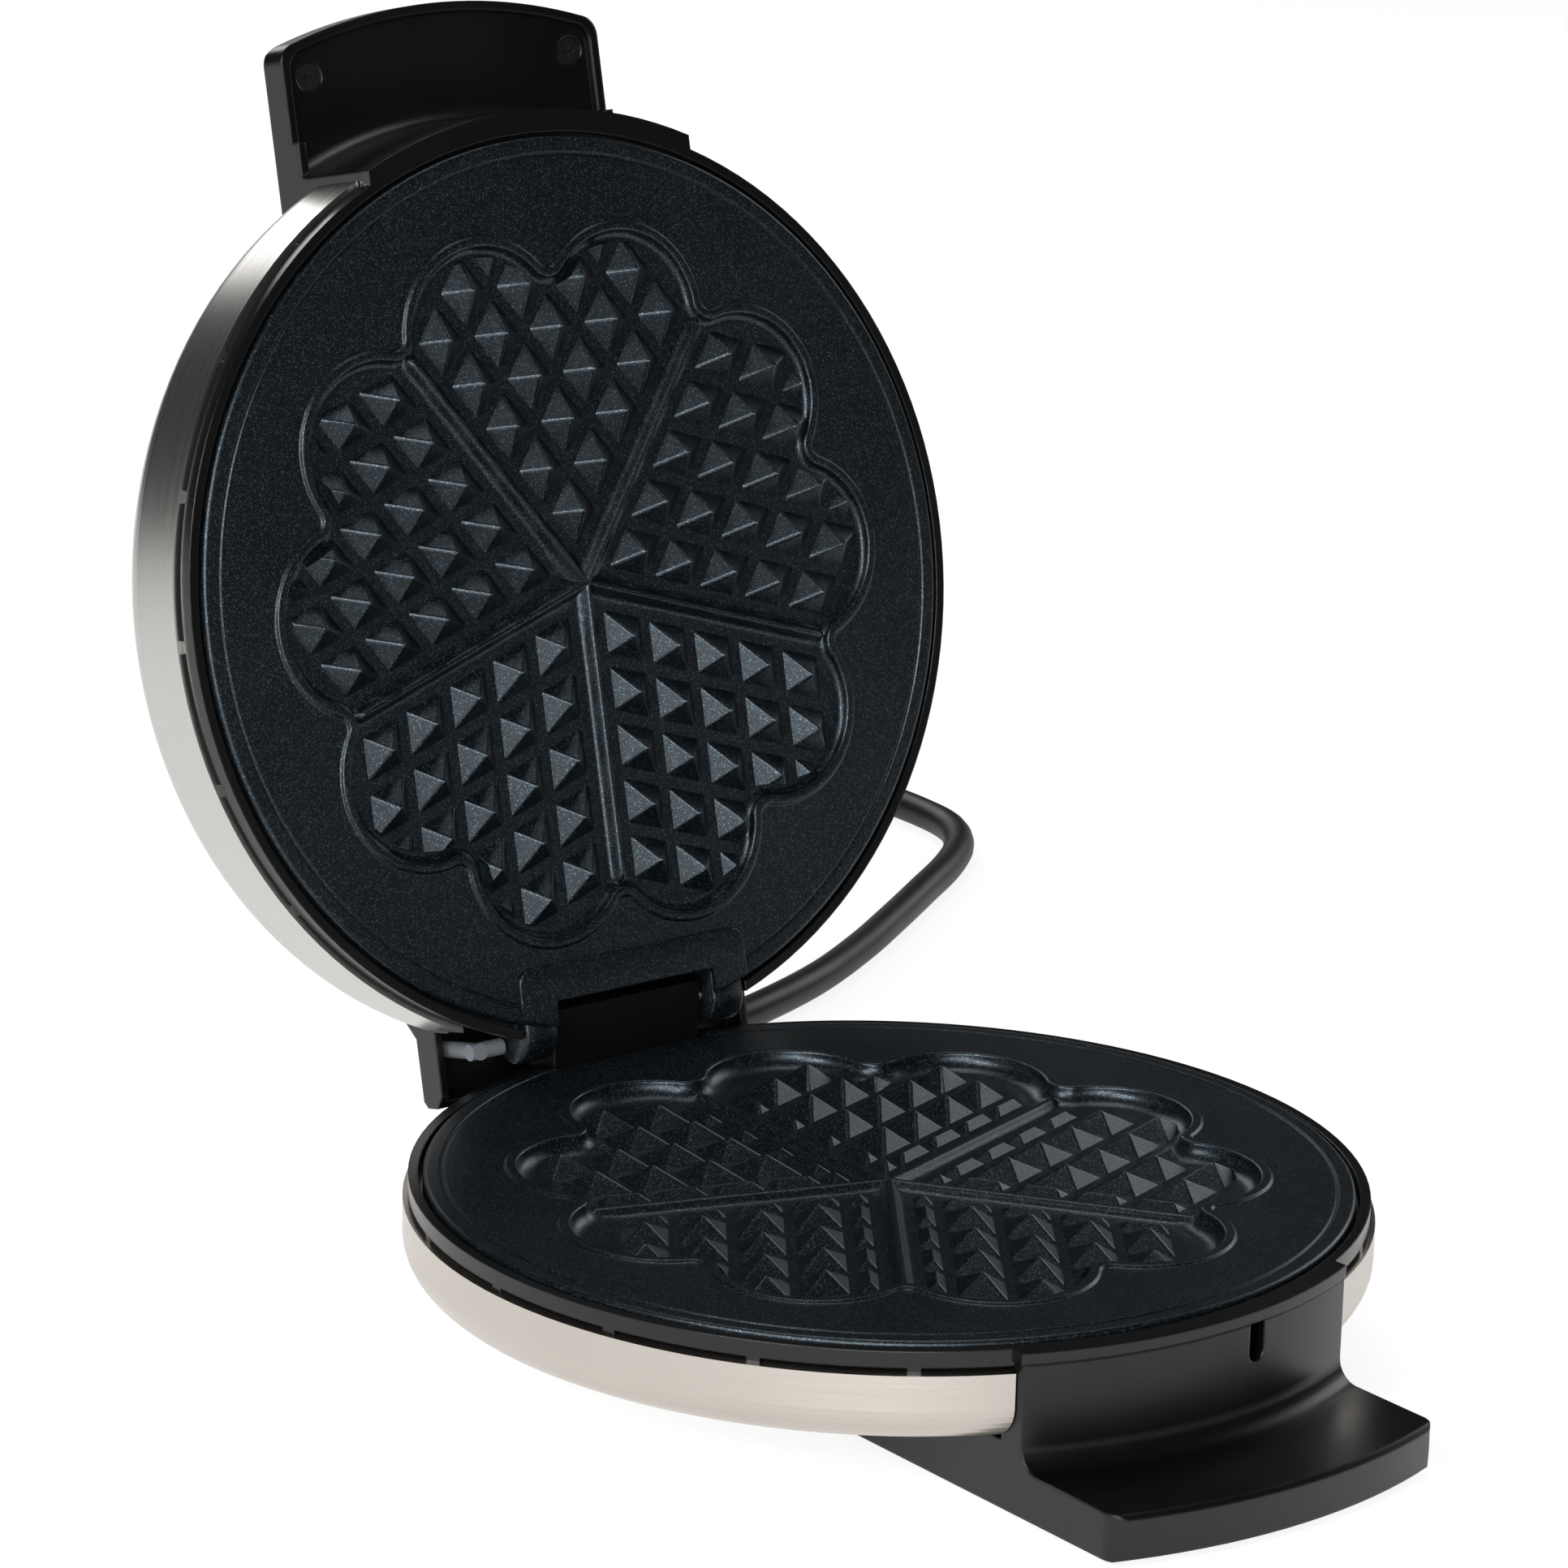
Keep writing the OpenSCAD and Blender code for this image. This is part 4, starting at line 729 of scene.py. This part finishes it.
def ribDistances(p):
    # u = x sin 36 + y cos 36, v = x sin 36 - y cos 36
    return (math.cos(lobeAngle) * p[..., 1] + math.sin(lobeAngle) * p[..., 0],
            math.sin(lobeAngle) * p[..., 0] - math.cos(lobeAngle) * p[..., 1])


def studSurface(p, stud, grid):
    # a pyramid's depth: floor - high + high * the larger share of u and v, softened at its edges and tip;
    # an oblong one has a crest as long as its sides differ
    u0, v0, hu, hv = stud
    m = min(hu, hv)
    u, v = ribDistances(p)
    share = softHigh((np.abs(u - u0) - hu + m) / m, (np.abs(v - v0) - hv + m) / m, studSettings["edgeSoft"])
    return grid["floor"] - grid["steep"] * m * (1 - np.sqrt(share ** 2 + studSettings["tip"] ** 2))


def wholeStud(stud, grid):
    # level s holds the rhombus of half widths w = h - m + m * s, its corners rounded: corner * (w - c) + c * out
    u0, v0, hu, hv = stud
    m = min(hu, hv)
    count = studSettings["cornerSteps"]
    steps = np.linspace(0, 1, count)
    sweeps = [(-54, 54, 1, 1), (54, 126, 1, -1), (126, 234, -1, -1), (234, 306, -1, 1)]
    turn = np.radians(np.concatenate([a + (b - a) * steps for a, b, _, _ in sweeps]))
    su = np.repeat([s[2] for s in sweeps], count)
    sv = np.repeat([s[3] for s in sweeps], count)
    level = np.array(studSettings["levels"] + (studSettings["sink"],))[:, None]
    wideU, wideV = hu - m + m * level, hv - m + m * level
    corner = np.minimum(studSettings["round"], np.minimum(wideU, wideV))
    at = fromRibs(u0 + su * (wideU - corner), v0 + sv * (wideV - corner))
    out = np.stack([np.cos(turn), np.sin(turn)], -1)[None]
    flat = at + corner[..., None] * out
    blunt = np.sqrt(level ** 2 + studSettings["tip"] ** 2)
    depth = grid["floor"] - grid["steep"] * m * (1 - blunt) + 0 * flat[..., 0]
    slope = grid["steep"] * level / blunt
    normal = np.concatenate([out * slope[..., None], -np.ones(flat.shape[:2] + (1,))], -1)
    return np.concatenate([flat, depth[..., None]], -1), normal / np.linalg.norm(normal, axis=-1)[..., None]


def beyondCut(p, turn, grid):
    # how far a point lies past the channel at the wall, negative inside
    c, s = math.cos(turn), math.sin(turn)
    return outlineDistance(c * p[..., 0] - s * p[..., 1], s * p[..., 0] + c * p[..., 1]) + grid["margin"]


def cutStud(stud, turn, grid):
    # a pyramid that the wall's channel cuts: rays from its deepest point inside run to its foot or to the cut
    u0, v0, hu, hv = stud
    footU, footV = hu * studSettings["sink"], hv * studSettings["sink"]

    def distance(p):
        return beyondCut(p, turn, grid)

    spots = np.linspace(-studSettings["triesTo"], studSettings["triesTo"], studSettings["tries"])
    gu, gv = np.meshgrid(spots, spots, indexing="ij")
    inside = fromRibs(u0 + hu * gu.ravel(), v0 + hv * gv.ravel())
    deep = distance(inside)
    tip = fromRibs(np.array(u0), np.array(v0))
    middle = tip if distance(tip) < studSettings["clear"] else inside[np.argmin(deep)]
    angle = 2 * math.pi * np.arange(studSettings["rays"]) / studSettings["rays"]
    ray = np.stack([np.cos(angle), np.sin(angle)], -1)
    mu, mv = ribDistances(middle) - np.array([u0, v0])
    du, dv = ribDistances(ray)

    def toSide(d, wide, m):
        # length of each ray to the foot's two sides across d; one that runs along them never meets them
        return np.where(np.abs(d) < 1e-6, 99, (np.sign(d) * wide - m) / np.where(d == 0, 1, d))

    foot = np.minimum(toSide(du, footU, mu), toSide(dv, footV, mv))
    share = np.linspace(0, 1, studSettings["raySteps"])
    along = middle + ray[:, None, :] * (foot[:, None] * share)[..., None]
    over = distance(along)
    first = np.where((over > 0).any(1), (over > 0).argmax(1), 0)
    each = np.arange(len(ray))
    low, high = over[each, np.maximum(first - 1, 0)], over[each, first]
    part = np.where(first > 0, (first - 1 + low / np.minimum(low - high, -1e-9)) / (len(share) - 1), 1.0)
    reach = foot * np.clip(part, 0.02, 1.0)
    shares = np.array(studSettings["cutShares"])[:, None]
    top = middle + ray[None] * (reach[None] * shares)[..., None]
    rim = (middle + ray * reach[:, None])[None]
    flat = np.concatenate([top, rim, rim])
    depth = studSurface(flat, stud, grid)
    step = studSettings["step"]
    gx = (studSurface(flat + (step, 0), stud, grid) - depth) / step
    gy = (studSurface(flat + (0, step), stud, grid) - depth) / step
    normal = np.stack([gx, gy, -np.ones_like(gx)], -1)
    edge = distance(rim[0])
    away = np.stack([distance(rim[0] + (step, 0)) - edge, distance(rim[0] + (0, step)) - edge,
                     np.zeros(len(ray))], -1) / step
    wall = np.where(part[:, None] < 1.0, away, normal[-1])
    depth[-2] += np.where(part < 1.0, studSettings["cutDrop"], 0.0)
    depth[-1] = grid["floor"] + studSettings["footDrop"]
    normal[-2:] = wall
    return (np.concatenate([flat, depth[..., None]], -1),
            normal / np.maximum(np.linalg.norm(normal, axis=-1), 1e-9)[..., None])


def closedRows(points, normals, places, faces, normalRows, start):
    # one closed body of rows and columns: side quads, a cap on the first row and a cap on the last
    rows, columns = points.shape[:2]
    places.append(points.reshape(-1, 3))
    normalRows.append(np.zeros((rows * columns, 3)) if normals is None else normals.reshape(-1, 3))
    faces += (gridFaces(rows, columns, True) + start).tolist()
    faces.append((start + np.arange(columns)[::-1]).tolist())
    faces.append((start + (rows - 1) * columns + np.arange(columns)).tolist())
    return start + rows * columns


def studsOf(grid, places, faces, normalRows, start):
    # every heart's pyramids, turned into place; those past the wall are left out, those on it are cut
    counts = [0, 0]
    ticks = (-1, -0.5, 0, 0.5, 1)
    rim = np.array([(a, b) for a in ticks for b in ticks])
    for heart in range(hearts):
        turn = math.radians(270) + 2 * lobeAngle * heart
        c, s = math.cos(turn), math.sin(turn)
        spin = np.array([[c, s, 0], [-s, c, 0], [0, 0, 1.0]])
        for stud in studLattice(grid):
            u0, v0, hu, hv = stud
            foot = fromRibs(u0 + rim[:, 0] * hu, v0 + rim[:, 1] * hv)
            over = beyondCut(foot, turn, grid)
            if over.min() > studSettings["least"]:
                continue
            if over.max() < 0:
                points, normals = wholeStud(stud, grid)
                counts[0] += 1
            else:
                points, normals = cutStud(stud, turn, grid)
                counts[1] += 1
            start = closedRows(points @ spin, normals @ spin, places, faces, normalRows, start)
    print("pyramids, whole and cut:", counts)
    return start


def roundedProfile(low, high, soft, radius, profile):
    # a closed outline carried across x; its ends are drawn in by "soft" so the edge is broken
    middle = profile.mean(0)
    xs = [low, low, low + soft, high - soft, high, high]
    shrink = [0.05, 1 - soft / radius, 1, 1, 1 - soft / radius, 0.05]
    return np.array([np.column_stack([np.full(len(profile), x), middle + (profile - middle) * k])
                     for x, k in zip(xs, shrink)])


def makePlate(name, half, node):
    # the casting, its pyramids and, on the lid, the parts round the hinge, joined as one piece
    toWorld, turn, sign = halves[half]
    places, faces, normalRows = [], [], []
    start = closedRows(castingGrid(grids[half]), None, places, faces, normalRows, 0)
    start = studsOf(grids[half], places, faces, normalRows, start)
    if half == "lid":
        lidExtras(places, faces, normalRows, start)
    points, normals = np.concatenate(places), np.concatenate(normalRows)
    if sign < 0:
        faces = [face[::-1] for face in faces]
    piece = newPiece(name, toWorld(points), faces, half, finish["coating"], normals=turn(normals), angle=38)
    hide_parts(node)
    print(name, "faces:", len(piece.data.polygons), "triangles:", sum(len(f) - 2 for f in faces))


# the raised land before the hinge, the ears round the hinge line, and the bosses for the plate's screws
landSettings = {"half": 33.0, "front": 87.0, "edge": 104.4, "notchHalf": 22.9, "notchFront": 95.9, "corner": 4.0,
                "section": ((0.45, 0.0), (0.15, 0.0), (-0.25, 0.0), (-0.5, 0.1), (-0.66, 0.28), (-0.7, 0.5))}
earSettings = {"inner": 22.9, "outer": 31.8, "axisBack": 102.7, "axisDepth": 7.5, "radius": 7.0, "front": 91.0,
               "back": 0.6, "soft": 0.5}
bossSettings = {"radius": 4.4, "around": 24, "end": 28.9, "frontRing": 63.5 + 12.7, "frontTurns": (247, 293),
                "frontFrom": 11.0, "rearAt": ((-34.0, 89.0), (34.0, 89.0)), "rearFrom": 3.0}


def makeLand():
    # a U-shaped outline with rounded corners; each row is drawn in along the outline's inward direction
    land = landSettings
    r, half, front = land["corner"], land["half"], land["front"]
    bend = np.radians(np.linspace(180, 270, 8))
    left = np.stack([-half + r + r * np.cos(bend), front + r + r * np.sin(bend)], -1)
    sweep = np.linspace(math.asin(half / land["edge"]), math.asin(land["notchHalf"] / land["edge"]), 8)
    rightArc = land["edge"] * np.stack([np.sin(sweep), np.cos(sweep)], -1)
    notch = np.array([(land["notchHalf"], land["notchFront"]), (-land["notchHalf"], land["notchFront"])])
    outline = np.concatenate([left, left[::-1] * (-1, 1), rightArc, notch, rightArc[::-1] * (-1, 1)])
    side = np.roll(outline, -1, 0) - np.roll(outline, 1, 0)
    side /= np.linalg.norm(side, axis=1)[:, None]
    inward = np.stack([-side[:, 1], side[:, 0]], -1)
    return np.array([np.column_stack([outline + inward * draw, np.full(len(outline), depth)])
                     for depth, draw in land["section"]])


def makeEar(low, high):
    # a half cylinder round the hinge line, joined to the casting by straight sides and carried across x
    ear = earSettings
    bend = np.radians(np.linspace(-90, 90, 15))
    nose = np.stack([ear["axisBack"] + ear["radius"] * np.cos(bend),
                     ear["axisDepth"] + ear["radius"] * np.sin(bend)], -1)
    sides = [(ear["front"] + 2, ear["axisDepth"] + 0.2), (ear["front"], ear["axisDepth"] - 1.8),
             (ear["front"], ear["back"])]
    return roundedProfile(low, high, ear["soft"], ear["radius"], np.concatenate([nose, sides]))


def makeBoss(x, y, low):
    # a plain round post: (x, y) + r (cos a, sin a) at two depths
    turn = np.linspace(0, 2 * math.pi, bossSettings["around"] + 1)[:-1]
    circle = np.stack([np.cos(turn), np.sin(turn)], -1) * bossSettings["radius"]
    return np.array([np.column_stack([circle + (x, y), np.full(len(turn), depth)])
                     for depth in (low, bossSettings["end"])])


def lidExtras(places, faces, normalRows, start):
    # everything on the lid's casting that the base's doesn't have
    inner, outer = earSettings["inner"], earSettings["outer"]
    bodies = [makeLand()[::-1], makeEar(inner, outer)[::-1], makeEar(-outer, -inner)[::-1]]
    for turn in np.radians(bossSettings["frontTurns"]):
        x, y = bossSettings["frontRing"] * math.cos(turn), bossSettings["frontRing"] * math.sin(turn)
        bodies.append(makeBoss(x, y, bossSettings["frontFrom"]))
    bodies += [makeBoss(x, y, bossSettings["rearFrom"]) for x, y in bossSettings["rearAt"]]
    for body in bodies:
        start = closedRows(body, None, places, faces, normalRows, start)


makePlate("lowerPlateCasting", "base", "lower_plate")
makePlate("upperPlateCasting", "lid", "upper_plate")
print("plates cast")

# floor and light
roomSettings = {"floor": (0.86, 0.86, 0.86, 1), "half": 8, "roughness": 0.9, "specular": 0.1, "white": 0.66,
                "mirrored": 0.7, "glow": 1.3, "world": 0.03}


def makeFloor():
    # a matt pale floor; the camera, mirrors and glass see part of it as plain white, so it keeps the shadow
    half = roomSettings["half"]
    corners = [(-half, -half, 0), (half, -half, 0), (half, half, 0), (-half, half, 0)]
    mesh = bpy.data.meshes.new("floor")
    mesh.from_pydata(corners, [], [(0, 1, 2, 3)])
    floor = bpy.data.objects.new("floor", mesh)
    bpy.context.scene.collection.objects.link(floor)
    material, nodes, links, shader = newMaterial("paleFloor")
    shader.inputs["Base Color"].default_value = roomSettings["floor"]
    shader.inputs["Roughness"].default_value = roomSettings["roughness"]
    shader.inputs["Specular IOR Level"].default_value = roomSettings["specular"]
    rays = addNode(nodes, "ShaderNodeLightPath", (-500, 300))
    white = addNode(nodes, "ShaderNodeEmission", (300, 250), Color=(1, 1, 1, 1), Strength=roomSettings["glow"])
    mix = addNode(nodes, "ShaderNodeMixShader", (500, 100))

    def maths(operation, where, *values):
        # each value is a number or another node's output
        node = addNode(nodes, "ShaderNodeMath", where, operation=operation)
        for socket, value in zip(node.inputs, values):
            if isinstance(value, float):
                socket.default_value = value
            else:
                links.new(value, socket)
        return node.outputs[0]

    mirrored = maths("MULTIPLY", (-300, 100), rays.outputs["Is Glossy Ray"], roomSettings["mirrored"])
    seen = maths("MAXIMUM", (-100, 300), rays.outputs["Is Camera Ray"], mirrored)
    seen = maths("MAXIMUM", (100, 300), seen, rays.outputs["Is Transmission Ray"])
    links.new(maths("MULTIPLY", (300, 400), seen, roomSettings["white"]), mix.inputs["Fac"])
    links.new(shader.outputs[0], mix.inputs[1])
    links.new(white.outputs[0], mix.inputs[2])
    links.new(mix.outputs[0], nodes["Material Output"].inputs["Surface"])
    mesh.materials.append(material)


def makeWorld():
    # dim even room light
    world = bpy.data.worlds.new("studio")
    bpy.context.scene.world = world
    world.use_nodes = True
    nodes, links = world.node_tree.nodes, world.node_tree.links
    nodes.clear()
    out = addNode(nodes, "ShaderNodeOutputWorld", (400, 0))
    soft = addNode(nodes, "ShaderNodeBackground", (0, 100), Color=(1, 1, 1, 1), Strength=roomSettings["world"])
    links.new(soft.outputs[0], out.inputs["Surface"])


# square lamps round the object: direction (degrees from the x axis, degrees up), distance, side and power
lampSettings = {"frontLamp": (230, 14, 2.2, 1.0, 33.0), "leftLamp": (200, 32, 2.2, 0.7, 30.0),
                "rightLamp": (8, 22, 2.2, 1.0, 8.0), "backLamp": (76, 30, 2.2, 1.0, 10.0),
                "topLamp": (54, 70, 2.2, 0.9, 9.0)}
aim = Vector((0.0, 0.02, 0.1))


def makeLamp(name, turn, rise, far, size, power):
    # stands at aim + far * direction and looks back at the aim
    data = bpy.data.lights.new(name, "AREA")
    data.size = size
    data.energy = power
    lamp = bpy.data.objects.new(name, data)
    bpy.context.scene.collection.objects.link(lamp)
    turn, rise = math.radians(turn), math.radians(rise)
    away = Vector((math.cos(rise) * math.cos(turn), math.cos(rise) * math.sin(turn), math.sin(rise)))
    lamp.location = aim + far * away
    lamp.rotation_euler = (-away).to_track_quat("-Z", "Y").to_euler()


makeFloor()
makeWorld()
for name, values in lampSettings.items():
    makeLamp(name, *values)
print("room lit")
